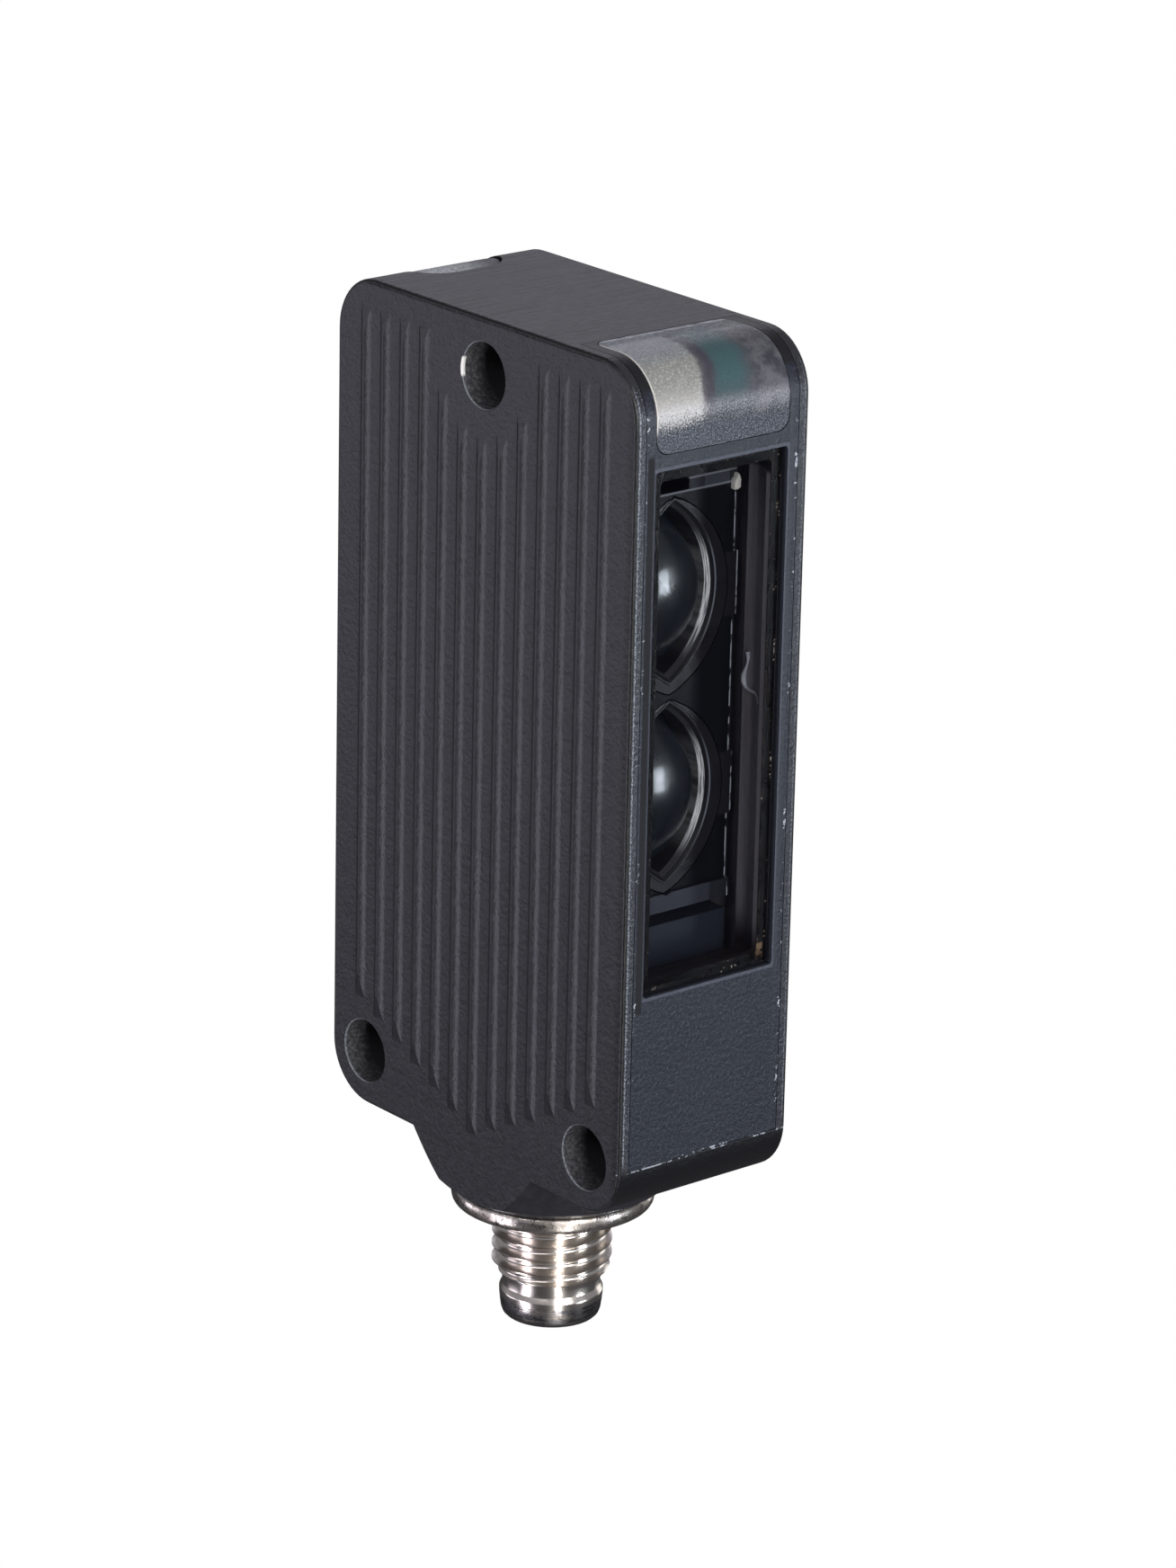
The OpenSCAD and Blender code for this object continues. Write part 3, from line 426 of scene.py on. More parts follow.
def frosted_cap():
    """Frosted plastic with the blurred light guides behind it: cream on the left, teal beside it, with
    painted shade between them and painted highlights, sparkle and glow.
    """
    f = Finish("frosted indicator plastic")
    where = f.place()
    across = along(f, "X")
    y = along(f, "Y")
    z = along(f, "Z")
    cloud = f.noise(where, 900.0, 3.0, 0.6)
    grit = f.noise(where, 5600.0, 2.0, 0.8)
    fine = f.noise(where, 8600.0, 3.0, 0.8)

    # The guides' blurred edges wander, and shift to the right over the bend
    blurred = f.math("ADD", across, f.math("MULTIPLY", f.math("SUBTRACT", cloud, 0.5), 0.9))
    x = f.math("SUBTRACT", blurred, f.ramp(z, 57.5, 61.0, 0.0, 0.7))
    cream = f.ramp(x, -1.1, -1.9)
    # Painted shade: a dark stripe between the cream and the teal guides, laid on below
    violet = band(f, x, -1.5, -1.0, 0.5)
    teal = every(f, band(f, x, 0.0, 1.2, 1.3), f.ramp(z, 57.4, 59.4))
    right = f.ramp(x, 1.6, 3.2)
    grey = f.blend(f.ramp(cloud, 0.36, 0.64), rgb(0.05, 0.05, 0.062), rgb(0.13, 0.128, 0.145))
    colour = f.blend(right, rgb(0.07, 0.078, 0.092), grey)
    # The cream is painted lighter towards the bright belt below, as painted light, duller and bluish over
    # the top face, and sprinkled with painted sparkle
    cream_with_painted_light = f.blend(f.ramp(z, 59.6, 57.6), rgb(0.27, 0.27, 0.25), rgb(0.48, 0.46, 0.44))
    cream_with_painted_light = f.blend(f.ramp(z, 60.95, 60.3), rgb(0.24, 0.265, 0.29), cream_with_painted_light)
    cream_with_painted_light = f.blend(f.ramp(fine, 0.5, 0.62, 0.0, 0.5), cream_with_painted_light, rgb(0.75, 0.73, 0.72))
    colour = f.blend(cream, colour, cream_with_painted_light)
    colour = f.blend(teal, colour, rgb(0.053, 0.11, 0.12))
    colour = f.blend(f.math("MULTIPLY", violet, 0.75), colour, rgb(0.06, 0.052, 0.07))

    # Painted highlight: the frost sparkles in a bright belt over the bend. Below it the plastic darkens,
    # with painted sparkle in a sharper grit
    lit = every(f, band(f, z, 57.0, 57.7, 0.9), f.ramp(fine, 0.4, 0.6), f.ramp(cream, 0.0, 1.0, 0.22, 0.5))
    colour = f.blend(lit, colour, rgb(0.62, 0.6, 0.63))
    uneven = f.math("ADD", f.ramp(cloud, 0.0, 1.0, -0.4, 0.4), f.ramp(fine, 0.0, 1.0, -1.5, 1.5))
    low = f.ramp(f.math("ADD", z, uneven), 57.5, 56.7)
    dark_base_and_painted_sparkle = f.blend(f.ramp(fine, 0.5, 0.63), rgb(0.006, 0.008, 0.015), rgb(0.19, 0.21, 0.28))
    colour = f.blend(low, colour, dark_base_and_painted_sparkle)

    # On the top face: a dull rear part, a soft painted glow before it, and painted highlights along the cut
    # edges
    rear = f.ramp(y, -10.1, -9.5)
    colour = f.blend(f.math("MULTIPLY", rear, 0.8), colour, rgb(0.07, 0.078, 0.097))
    glow = every(f, band(f, y, -10.75, -10.35, 0.25), f.ramp(cloud, 0.35, 0.6))
    colour = f.blend(f.math("MULTIPLY", glow, 0.5), colour, rgb(0.33, 0.38, 0.4))
    outline = every(f, either(f, band(f, y, -9.0, -8.6, 0.05), f.ramp(across, -5.2, -5.26)),
                    f.ramp(z, 60.2, 60.7), f.ramp(cloud, 0.3, 0.6))
    colour = f.blend(f.math("MULTIPLY", outline, 0.8), colour, rgb(0.5, 0.52, 0.58))
    # Painted highlight along the cap's left edge, low on its front
    left_edge_highlight = every(f, f.ramp(across, -5.24, -5.3), f.ramp(z, 56.3, 57.0))
    colour = f.blend(left_edge_highlight, colour, rgb(0.8, 0.76, 0.7))
    f.set(Base_Color=colour,
          Roughness=f.ramp(grit, 0.35, 0.7, 0.45, 0.22),
          Transmission_Weight=0.1, IOR=1.49,
          Normal=f.bump(grit, 0.35, 0.00004))
    return f.material


def rear_insert():
    """The rear indicator's frosted plastic: paler and less clear than the cap."""
    f = Finish("rear indicator plastic")
    x = along(f, "X")
    y = along(f, "Y")
    grit = f.noise(f.place(), 4600.0, 3.0, 0.75)
    frost = f.blend(f.ramp(grit, 0.38, 0.66), rgb(0.1, 0.105, 0.125), rgb(0.25, 0.26, 0.3))
    # Painted shade towards the right of the part on the top face, and painted light, broken by the grit,
    # towards the left
    shade = every(f, f.ramp(x, -0.8, 1.8), f.ramp(along(f, "Z"), 59.4, 60.2))
    colour = f.blend(shade, frost, rgb(0.07, 0.072, 0.09))
    lit = every(f, f.ramp(x, 2.6, -1.0), f.ramp(x, -3.55, -2.9, 0.2, 1.0), f.ramp(y, 13.5, 12.3),
                f.ramp(grit, 0.4, 0.58, 0.45, 1.0))
    f.set(Base_Color=f.blend(lit, colour, rgb(0.76, 0.78, 0.82)),
          Roughness=f.ramp(grit, 0.3, 0.7, 0.5, 0.35),
          Transmission_Weight=0.25, IOR=1.49,
          Normal=f.bump(grit, 0.5, 0.00005))
    return f.material


def window_glass():
    """A thin dark tint that shows what is behind it, with faint upright streaks."""
    f = Finish("tinted window pane")
    streak = f.noise(f.stretch(f.place(), (1.0, 1.0, 0.3)), 300.0, 3.0, 0.6)
    f.set(Base_Color=f.blend(streak, rgb(0.004, 0.004, 0.006), rgb(0.008, 0.007, 0.011)),
          Roughness=f.ramp(streak, 0.3, 0.8, 0.02, 0.05),
          Alpha=f.ramp(streak, 0.2, 0.9, 0.1, 0.14),
          Specular_IOR_Level=0.5,
          Normal=f.bump(streak, 0.02, 0.00005))
    f.material.surface_render_method = "BLENDED"
    return f.material


def adhesive():
    """Dark glossy adhesive with brown dust at its inner edge and bright flecks along both edges."""
    f = Finish("speckled adhesive")
    across = along(f, "X")
    z = along(f, "Z")

    # Distance outside the frame's clear opening, 9 x 32.7 mm round z 37
    out_x = f.math("SUBTRACT", f.math("ABSOLUTE", across), 4.5)
    out_z = f.math("SUBTRACT", f.math("ABSOLUTE", f.math("SUBTRACT", z, 37.0)), 16.35)
    out = f.math("MAXIMUM", out_x, out_z)
    lumps = f.noise(f.place(), 1300.0, 4.0, 0.7)
    side = f.ramp(out_z, 0.0, -0.1, 0.3, 1.0)
    edge = every(f, f.ramp(out, 0.22, 0.1), f.ramp(lumps, 0.45, 0.62), side,
                 f.ramp(across, -3.6, -3.0, 0.1, 1.0))
    right = f.ramp(across, 0.0, 1.0, 0.35, 1.0)
    rows = either(f, band(f, out, 0.02, 0.1, 0.03), band(f, out, 0.5, 0.66, 0.06))
    flecks = every(f, rows, specks(f, 4200.0, 0.06), right)
    front_line = every(f, band(f, out, 0.66, 0.74, 0.03), specks(f, 3800.0, 0.15))
    spark = either(f, flecks, front_line)
    corner = every(f, band(f, across, 4.5, 4.95, 0.1), band(f, z, 20.3, 21.1, 0.2),
                   f.ramp(lumps, 0.4, 0.5))
    colour = f.blend(f.math("MULTIPLY", edge, 0.3), rgb(0.0018, 0.0016, 0.0022), rgb(0.05, 0.034, 0.024))
    colour = f.blend(f.math("MULTIPLY", corner, 0.6), colour, rgb(0.26, 0.17, 0.1))
    f.set(Base_Color=f.blend(spark, colour, rgb(0.36, 0.31, 0.26)),
          Roughness=f.ramp(lumps, 0.3, 0.7, 0.25, 0.5),
          Specular_IOR_Level=0.18,
          Normal=f.bump(lumps, 0.5, 0.00006))
    return f.material


def moulded_black():
    """Black plastic of the optic carrier, with its bluish foot and painted highlights along its edges."""
    f = Finish("black carrier plastic")
    x = along(f, "X")
    y = along(f, "Y")
    z = along(f, "Z")
    front = f.ramp(y, -10.2, -10.45)
    tone = f.noise(f.place(), 220.0, 4.0, 0.6)
    colour = f.blend(tone, rgb(0.0022, 0.0027, 0.0045), rgb(0.0045, 0.0055, 0.0085))

    # The lower wall and the ledge over it
    foot = f.ramp(z, 23.2, 22.8)
    colour = f.blend(foot, colour, rgb(0.019, 0.024, 0.036))
    ledge = every(f, f.ramp(y, -10.5, -10.7), band(f, z, 23.2, 24.6, 0.05), f.ramp(x, 3.6, 3.5, 0.45, 1.0))
    colour = f.blend(f.math("MULTIPLY", ledge, 0.7), colour, rgb(0.05, 0.055, 0.075))

    # The pads that stick out to the right beside the lenses
    pads = None
    for centre in LENS_HEIGHTS:
        pad = band(f, z, centre - 2.1, centre + 2.1, 0.02)
        pads = pad if pads is None else either(f, pads, pad)
    colour = f.blend(every(f, pads, f.ramp(x, 3.2, 3.7)), colour, rgb(0.014, 0.0135, 0.018))

    # The bar over the upper lens, with its pale panel and painted highlights along its edges
    panel = every(f, front, band(f, x, 2.5, 4.5, 0.05), band(f, z, 50.85, 51.75, 0.04))
    colour = f.blend(panel, colour, rgb(0.05, 0.056, 0.07))
    bar = every(f, front, band(f, z, 50.86, 51.72, 0.03), f.ramp(x, 1.3, 1.35))
    colour = f.blend(f.math("MULTIPLY", bar, 0.35), colour, rgb(0.04, 0.047, 0.06))
    top_edge_highlights = every(f, front, either(f, band(f, z, 51.68, 51.8, 0.03), band(f, z, 50.88, 50.98, 0.03)))

    # Painted highlight: a broken light line down the right edge, which steps out at the pads
    dash = f.ramp(f.noise(f.stretch(f.place(), (1.0, 1.0, 0.45)), 2600.0, 2.0, 0.6), 0.4, 0.52)
    ridge_x = f.ramp(pads, 0.0, 1.0, 5.045, 5.345)
    offset = f.math("ABSOLUTE", f.math("SUBTRACT", x, ridge_x))
    ridge_highlight = every(f, front, f.ramp(offset, 0.07, 0.03), dash, f.ramp(z, 50.9, 50.4))
    painted_edge_highlight = either(f, f.math("MULTIPLY", top_edge_highlights, 0.35), ridge_highlight)
    f.set(Base_Color=f.blend(painted_edge_highlight, colour, rgb(0.4, 0.43, 0.5)),
          Roughness=f.math("ADD", 0.3, f.math("MULTIPLY", tone, 0.12)),
          Specular_IOR_Level=0.18,
          Normal=grain(f, 2600.0, 0.5, 0.18, 0.00005))
    return f.material


def clear_lens():
    """Clear plastic that looks dark over the black chamber, with one soft highlight from its coat."""
    f = Finish("clear lens plastic")
    swirl = f.noise(f.place(), 260.0, 2.0, 0.5)
    f.set(Base_Color=f.blend(swirl, rgb(0.006, 0.011, 0.018), rgb(0.012, 0.02, 0.03)),
          Roughness=f.ramp(swirl, 0.3, 0.8, 0.26, 0.32),
          Transmission_Weight=0.5, IOR=1.53, Coat_Weight=1.0, Coat_Roughness=0.13,
          Normal=f.bump(swirl, 0.004, 0.00005))
    return f.material


def lens_collar_plastic():
    """The moulded collar round each lens: black face, with a painted highlight on its fine edge and a
    streaked painted highlight on the slope inside, strongest at mid-height.
    """
    f = Finish("lens collar plastic")
    x = f.math("ADD", f.math("ABSOLUTE", along(f, "X")), COLLAR_OFFSET)
    z = along(f, "Z")

    # For both lenses together: the painted highlight on the edge, the painted highlight on the slope, and
    # the depth inside the outer arc
    found = None
    for centre in LENS_HEIGHTS:
        dz = f.math("SUBTRACT", z, centre + COLLAR_LIFT)
        reach = f.math("SQRT", f.math("ADD", f.math("MULTIPLY", x, x), f.math("MULTIPLY", dz, dz)))
        depth = f.math("SUBTRACT", COLLAR_RADIUS, reach)
        middle = f.ramp(f.math("ABSOLUTE", f.math("ADD", dz, 0.4)), 4.4, 1.6, 0.04, 1.0)
        mask = every(f, f.ramp(f.math("ABSOLUTE", dz), 6.6, 6.5), middle)
        line = every(f, mask, band(f, depth, 0.02, 0.1, 0.03))
        slope = every(f, mask, band(f, depth, 0.3, 0.48, 0.03))
        along_arc = f.math("MULTIPLY", depth, f.math("LESS_THAN", f.math("ABSOLUTE", dz), 6.6))
        marks = (line, slope, along_arc)
        found = marks if found is None else tuple(either(f, a, b) for a, b in zip(found, marks))
    painted_edge_highlight, slope_highlight, arc_depth = found

    # Streaks that follow the arc
    arc_place = f.node("ShaderNodeCombineXYZ")
    f.feed(arc_place.inputs[0], arc_depth)
    f.feed(arc_place.inputs[1], f.math("MULTIPLY", z, 0.025))
    streak = f.noise(arc_place.outputs[0], 24.0, 3.0, 0.6)
    tone = f.noise(f.place(), 400.0, 2.0, 0.5)
    colour = f.blend(tone, rgb(0.006, 0.006, 0.009), rgb(0.012, 0.012, 0.016))
    colour = f.blend(f.math("MULTIPLY", painted_edge_highlight, 0.5), colour, rgb(0.3, 0.33, 0.4))
    slope_highlight_streaks = f.blend(f.ramp(streak, 0.35, 0.62), rgb(0.12, 0.13, 0.16), rgb(0.95, 0.96, 1.0))
    f.set(Base_Color=f.blend(slope_highlight, colour, slope_highlight_streaks),
          Roughness=f.ramp(streak, 0.3, 0.7, 0.42, 0.25),
          Normal=f.bump(streak, 0.2, 0.00005))
    return f.material


def glue_string():
    f = Finish("clear glue string")
    tone = f.noise(f.place(), 900.0, 2.0, 0.5)
    f.set(Base_Color=f.blend(tone, rgb(0.22, 0.22, 0.27), rgb(0.6, 0.62, 0.7)),
          Roughness=f.ramp(tone, 0.3, 0.7, 0.08, 0.2),
          Normal=f.bump(tone, 0.1, 0.00005))
    return f.material


def polariser():
    f = Finish("polarising film")
    tone = f.noise(f.place(), 400.0, 2.0, 0.5)
    f.set(Base_Color=f.blend(tone, rgb(0.012, 0.011, 0.02), rgb(0.024, 0.02, 0.036)),
          Roughness=f.math("ADD", 0.16, f.math("MULTIPLY", tone, 0.08)),
          Normal=f.bump(tone, 0.05, 0.00005))
    return f.material


def circuit_mask():
    f = Finish("green board")
    where = f.place()
    lanes = f.noise(f.stretch(where, (1.0, 1.0, 0.25)), 900.0, 1.0, 0.4)
    colour = f.blend(f.ramp(lanes, 0.5, 0.56), rgb(0.012, 0.12, 0.085), rgb(0.02, 0.2, 0.14))
    f.set(Base_Color=colour, Roughness=f.ramp(lanes, 0.3, 0.7, 0.25, 0.4),
          Normal=f.bump(lanes, 0.2, 0.00004))
    return f.material


def cream_diffuser():
    f = Finish("cream diffuser")
    tone = f.noise(f.place(), 500.0, 3.0, 0.5)
    f.set(Base_Color=f.blend(tone, rgb(0.72, 0.66, 0.55), rgb(0.85, 0.8, 0.7)),
          Roughness=f.math("ADD", 0.45, f.math("MULTIPLY", tone, 0.1)),
          Normal=f.bump(tone, 0.1, 0.00005))
    return f.material


def nickel():
    """Warm bright plating with turning marks, stained and pitted on the flange and worn dark at the end."""
    f = Finish("nickel plating")
    where = f.place()
    z = along(f, "Z")
    turned = f.noise(f.stretch(where, (0.3, 0.3, 6.0)), 900.0, 3.0, 0.6)
    stain = f.noise(where, 900.0, 4.0, 0.7)
    pits = f.noise(where, 2600.0, 3.0, 0.7)
    flange = f.ramp(z, -0.05, 0.05)
    end = f.ramp(z, -6.75, -6.95)
    rough_zone = either(f, flange, end)
    dull = every(f, rough_zone, f.ramp(stain, 0.42, 0.6))
    colour = f.blend(f.ramp(stain, 0.45, 0.75), rgb(0.9, 0.83, 0.76), rgb(0.78, 0.7, 0.62))
    colour = f.blend(dull, colour, rgb(0.42, 0.37, 0.33))
    colour = f.blend(every(f, rough_zone, f.ramp(pits, 0.55, 0.7)), colour, rgb(0.1, 0.085, 0.075))
    worn_end = every(f, end, f.ramp(turned, 0.68, 0.5))
    height = f.math("ADD", turned, f.math("MULTIPLY", f.math("MULTIPLY", pits, rough_zone), 7.0))
    f.set(Base_Color=f.blend(worn_end, colour, rgb(0.27, 0.26, 0.27)),
          Metallic=1.0,
          Roughness=f.math("ADD", f.ramp(stain, 0.3, 0.8, 0.2, 0.26), f.math("MULTIPLY", dull, 0.12)),
          Normal=f.bump(height, 0.06, 0.00004))
    return f.material


def gold_plate():
    f = Finish("gold contacts")
    tone = f.noise(f.place(), 900.0, 3.0, 0.6)
    f.set(Base_Color=f.blend(tone, rgb(0.8, 0.56, 0.24), rgb(0.9, 0.68, 0.34)), Metallic=1.0,
          Roughness=f.ramp(tone, 0.3, 0.7, 0.16, 0.28), Normal=f.bump(tone, 0.05, 0.00004))
    return f.material


def tinned_sheet():
    f = Finish("tinned sheet")
    tone = f.noise(f.stretch(f.place(), (1.0, 1.0, 0.1)), 1500.0, 3.0, 0.6)
    f.set(Base_Color=f.blend(tone, rgb(0.5, 0.5, 0.52), rgb(0.66, 0.66, 0.68)), Metallic=1.0,
          Roughness=f.ramp(tone, 0.3, 0.7, 0.28, 0.42), Normal=f.bump(tone, 0.1, 0.00004))
    return f.material


def simple_plastic(name, dark, light, rough):
    """An even moulded plastic or resin with a slight drift of colour and a fine grain."""
    f = Finish(name)
    tone = f.noise(f.place(), 700.0, 3.0, 0.6)
    f.set(Base_Color=f.blend(tone, rgb(*dark), rgb(*light)),
          Roughness=f.math("ADD", rough, f.math("MULTIPLY", tone, 0.1)),
          Normal=grain(f, 2400.0, 0.4, 0.2, 0.00004))
    return f.material


PAINT = housing_paint()
COVER = cover_plastic()
FROST = frosted_cap()
REAR_FROST = rear_insert()
GLASS = window_glass()
GLUE = adhesive()
BLACK = moulded_black()
LENS = clear_lens()
COLLAR = lens_collar_plastic()
STRING = glue_string()
FILM = polariser()
BOARD = circuit_mask()
CREAM = cream_diffuser()
NICKEL = nickel()
GOLD = gold_plate()
TIN = tinned_sheet()
CHIP = simple_plastic("black chip resin", (0.012, 0.012, 0.014), (0.02, 0.02, 0.022), 0.5)
CLEAR_LED = simple_plastic("clear chip resin", (0.6, 0.58, 0.5), (0.75, 0.72, 0.65), 0.25)
GREEN_LED = simple_plastic("green chip resin", (0.1, 0.4, 0.2), (0.16, 0.5, 0.27), 0.25)
YELLOW_LED = simple_plastic("yellow chip resin", (0.65, 0.45, 0.08), (0.75, 0.55, 0.12), 0.25)
AMBER = simple_plastic("amber flex film", (0.3, 0.14, 0.03), (0.4, 0.2, 0.05), 0.25)
TEAL = simple_plastic("teal guide plastic", (0.012, 0.17, 0.13), (0.03, 0.3, 0.23), 0.3)
WHITE = simple_plastic("white tab plastic", (0.75, 0.74, 0.7), (0.85, 0.84, 0.8), 0.4)
RUBBER = simple_plastic("seal rubber", (0.008, 0.008, 0.008), (0.014, 0.014, 0.014), 0.5)

NODE_FINISH = {
    "housing": PAINT, "front_cover": COVER, "indicator_cap": FROST, "rear_indicator_window": REAR_FROST,
    "window_pane": GLASS, "pane_adhesive": GLUE, "optic_carrier": BLACK, "locating_tab": WHITE,
    "emitter_lens": LENS, "receiver_lens": LENS, "emitter_film": FILM, "receiver_film": FILM,
    "emitter_led": CLEAR_LED, "receiver_diode": CHIP, "receiver_shield": TIN, "main_board": BOARD,
    "controller_chip": CHIP, "display_board": BOARD, "green_led": GREEN_LED, "yellow_led": YELLOW_LED,
    "light_guide": CREAM, "teal_light_guide": TEAL, "rear_led": CLEAR_LED, "rear_light_pipe": CLEAR_LED,
    "flex_link": AMBER, "connector_board": BOARD, "connector_shell": NICKEL, "connector_seal": RUBBER,
    "contact_carrier": BLACK, "contact_pins": GOLD,
}


def dress_nodes():
    for name, piece in nodes.items():
        piece.data.materials.clear()
        piece.data.materials.append(NODE_FINISH[name])


# Pieces that the scene adds

def add_piece(name, shape, finish):
    """A new object of a mesh or curve, fixed to the body like everything else on it."""
    piece = bpy.data.objects.new(name, shape)
    bpy.context.scene.collection.objects.link(piece)
    shape.materials.append(finish)
    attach(piece, "root")
    return piece


def keep_smooth(shaped, mesh):
    """Writes the worked shape to its mesh, with its faces outward and smoothly shaded."""
    bmesh.ops.recalc_face_normals(shaped, faces=shaped.faces)
    shaped.to_mesh(mesh)
    shaped.free()
    mesh.polygons.foreach_set("use_smooth", [True] * len(mesh.polygons))


def build_ring_mesh(name, rows, wrap=0):
    """A skin over rows of points round an axis. Each row's last point joins the first one wrap rows on."""
    around = len(rows[0])
    last = len(rows) - 1
    points = [point for row in rows for point in row]
    faces = []
    for r in range(last):
        for i in range(around - 1):
            low = r * around + i
            faces.append((low, low + around, low + around + 1, low + 1))
        a = min(r + wrap, last) * around
        b = min(r + 1 + wrap, last) * around
        faces.append((r * around + around - 1, (r + 1) * around + around - 1, b, a))
    mesh = bpy.data.meshes.new(name)
    mesh.from_pydata([[v * MM for v in point] for point in points], [], faces)
    shaped = bmesh.new()
    shaped.from_mesh(mesh)
    bmesh.ops.remove_doubles(shaped, verts=shaped.verts, dist=0.000002)
    bmesh.ops.dissolve_degenerate(shaped, edges=shaped.edges, dist=0.000001)
    keep_smooth(shaped, mesh)
    return mesh


def close_small_ends(mesh):
    """Fills the small holes that a ring mesh leaves at its middle."""
    shaped = bmesh.new()
    shaped.from_mesh(mesh)
    bmesh.ops.holes_fill(shaped, edges=[edge for edge in shaped.edges if edge.is_boundary], sides=0)
    keep_smooth(shaped, mesh)


def bridge_gap(shaped, low, high):
    """Joins the two open rims that lie between two heights."""
    rim_wear_and_glint = [edge for edge in shaped.edges if edge.is_boundary and low < edge.verts[0].co.z / MM < high]
    bmesh.ops.bridge_loops(shaped, edges=rim_wear_and_glint)


def thread_radius(z, share):
    """Radius at height z, share of a pitch below the last crest: hollow flanks between sharp crests."""
    rise = min(1.0, abs(share - 0.5) / 0.46)
    run_in = min(1.0, max(0.0, (-z - 0.05) / THREAD_RUN_IN))
    depth = THREAD_DEPTH * (1.0 - rise ** 2.5) * run_in
    bevel = max(0.0, THREAD_BEVEL - (z + THREAD_LENGTH))
    return max(THREAD_CORE, THREAD_RADIUS - max(depth, bevel))


def thread_rows():
    """Rows that follow the helix, from above the thread's start to below its end, cut off level."""
    shares = (0.04, 0.12, 0.21, 0.31, 0.4, 0.5, 0.6, 0.69, 0.79, 0.88, 0.96)
    rows = []
    for turn in range(-1, int(THREAD_LENGTH) + 2):
        for share in shares:
            row = []
            for i in range(AROUND):
                angle = 2 * math.pi * i / AROUND
                free = (i / AROUND - THREAD_PHASE - turn - share) * THREAD_PITCH
                z = max(-THREAD_LENGTH, min(-0.002, free))
                at = share if z == free else (i / AROUND - THREAD_PHASE - z / THREAD_PITCH) % 1.0
                radius = thread_radius(z, at)
                row.append((radius * math.cos(angle), radius * math.sin(angle), z))
            rows.append(row)
    return rows, len(shares)


def plug_rows(profile):
    """Rows of a turned profile, each with small dents where the profile says so."""
    rows = []
    for radius, z, dent in profile:
        row = []
        for i in range(AROUND):
            angle = 2 * math.pi * i / AROUND
            out = radius - dent * (0.5 + 0.3 * math.sin(37 * angle) + 0.2 * math.sin(61 * angle + 1.3))
            row.append((out * math.cos(angle), out * math.sin(angle), z))
        rows.append(row)
    return rows


# Radius, height and depth of the dents, in millimetres
FLANGE_PROFILE = (
    (2.8, 4.5, 0), (4.8, 4.5, 0), (4.8, 1.1, 0), (6.5, 1.1, 0.02), (6.66, 1.05, 0.06), (6.73, 0.93, 0.05),
    (6.75, 0.7, 0.01), (6.75, 0.4, 0), (6.72, 0.2, 0.01), (6.64, 0.06, 0.01), (6.5, 0.0, 0), (4.02, 0.0, 0))
END_PROFILE = (
    (3.3, -5.105, 0), (3.27, -5.5, 0), (3.27, -6.03, 0), (3.28, -6.07, 0), (3.3, -6.11, 0), (3.44, -6.39, 0),
    (3.455, -6.43, 0), (3.46, -6.52, 0), (3.45, -6.8, 0), (3.4, -7.3, 0), (3.33, -7.8, 0),
    (3.24, -8.06, 0.01), (3.12, -8.18, 0.01), (3.0, -8.2, 0), (2.9, -8.16, 0), (2.8, -8.02, 0),
    (2.8, 4.5, 0))


def build_plug_shell():
    """Flange, threaded shell, groove, snap rim and open mouth, in one piece."""
    threaded, wrap = thread_rows()
    shells = [build_ring_mesh("plug flange", plug_rows(FLANGE_PROFILE)),
              build_ring_mesh("plug thread", threaded, wrap),
              build_ring_mesh("plug end", plug_rows(END_PROFILE))]
    shaped = bmesh.new()
    for shell in shells:
        shaped.from_mesh(shell)
        bpy.data.meshes.remove(shell)
    bmesh.ops.remove_doubles(shaped, verts=shaped.verts, dist=0.000002)
    bridge_gap(shaped, -0.1, 0.1)
    bridge_gap(shaped, -THREAD_LENGTH - 0.05, -THREAD_LENGTH + 0.1)
    mesh = bpy.data.meshes.new("plug shell")
    keep_smooth(shaped, mesh)
    mesh.set_sharp_from_angle(angle=math.radians(42))
    piece = add_piece("plug_shell", mesh, NICKEL)
    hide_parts("connector_shell")


def arc_reach(angle, radius, offset):
    """Distance from a lens centre to the outline that two arcs give, at an angle from +X towards +Z."""
    c = abs(math.cos(angle)) * offset
    return -c + math.sqrt(c * c + radius * radius - offset * offset)


def lens_row(centre, inset, y, collar=True):
    """A row along a lens's outline, so far inside it, at depth y or on the dome where y is None."""
    row = []
    radius, offset = (COLLAR_RADIUS, COLLAR_OFFSET) if collar else (OPENING_RADIUS, OPENING_OFFSET)
    height = centre + (COLLAR_LIFT if collar else 0.0)
    for i in range(AROUND):
        angle = 2 * math.pi * i / AROUND
        reach = arc_reach(angle, radius - inset, offset)
        x = reach * math.cos(angle)
        z = reach * math.sin(angle)
        deep = y
        if y is None:
            away = x * x + (height + z - centre) ** 2
            deep = CARRIER_FRONT + DOME_RADIUS - math.sqrt(DOME_RADIUS * DOME_RADIUS - away)
        row.append((x, deep, height + z))
    return row


# Rows of a lens and its collar, by distance inside the outline and depth: the lens up to its dome, the
# dome, whose radius gives the depths, the collar, and the collar's wall along the carrier's opening
LENS_PROFILE = ((3.58, LENS_BACK), (0.52, LENS_BACK), (0.52, -8.1), (1.0, -8.2))
DOME_INSETS = (1.12, 1.16, 1.3, 1.6, 2.0, 2.4, 2.8, 3.2, 3.4, 3.54, 3.58)
COLLAR_PROFILE = ((0.5, -8.12), (0.5, -9.95), (0.2, -10.45), (0.1, -10.56), (0.0, -10.56), (-0.05, -10.5))
OPENING_PROFILE = ((0.05, -10.49), (0.03, -8.12))


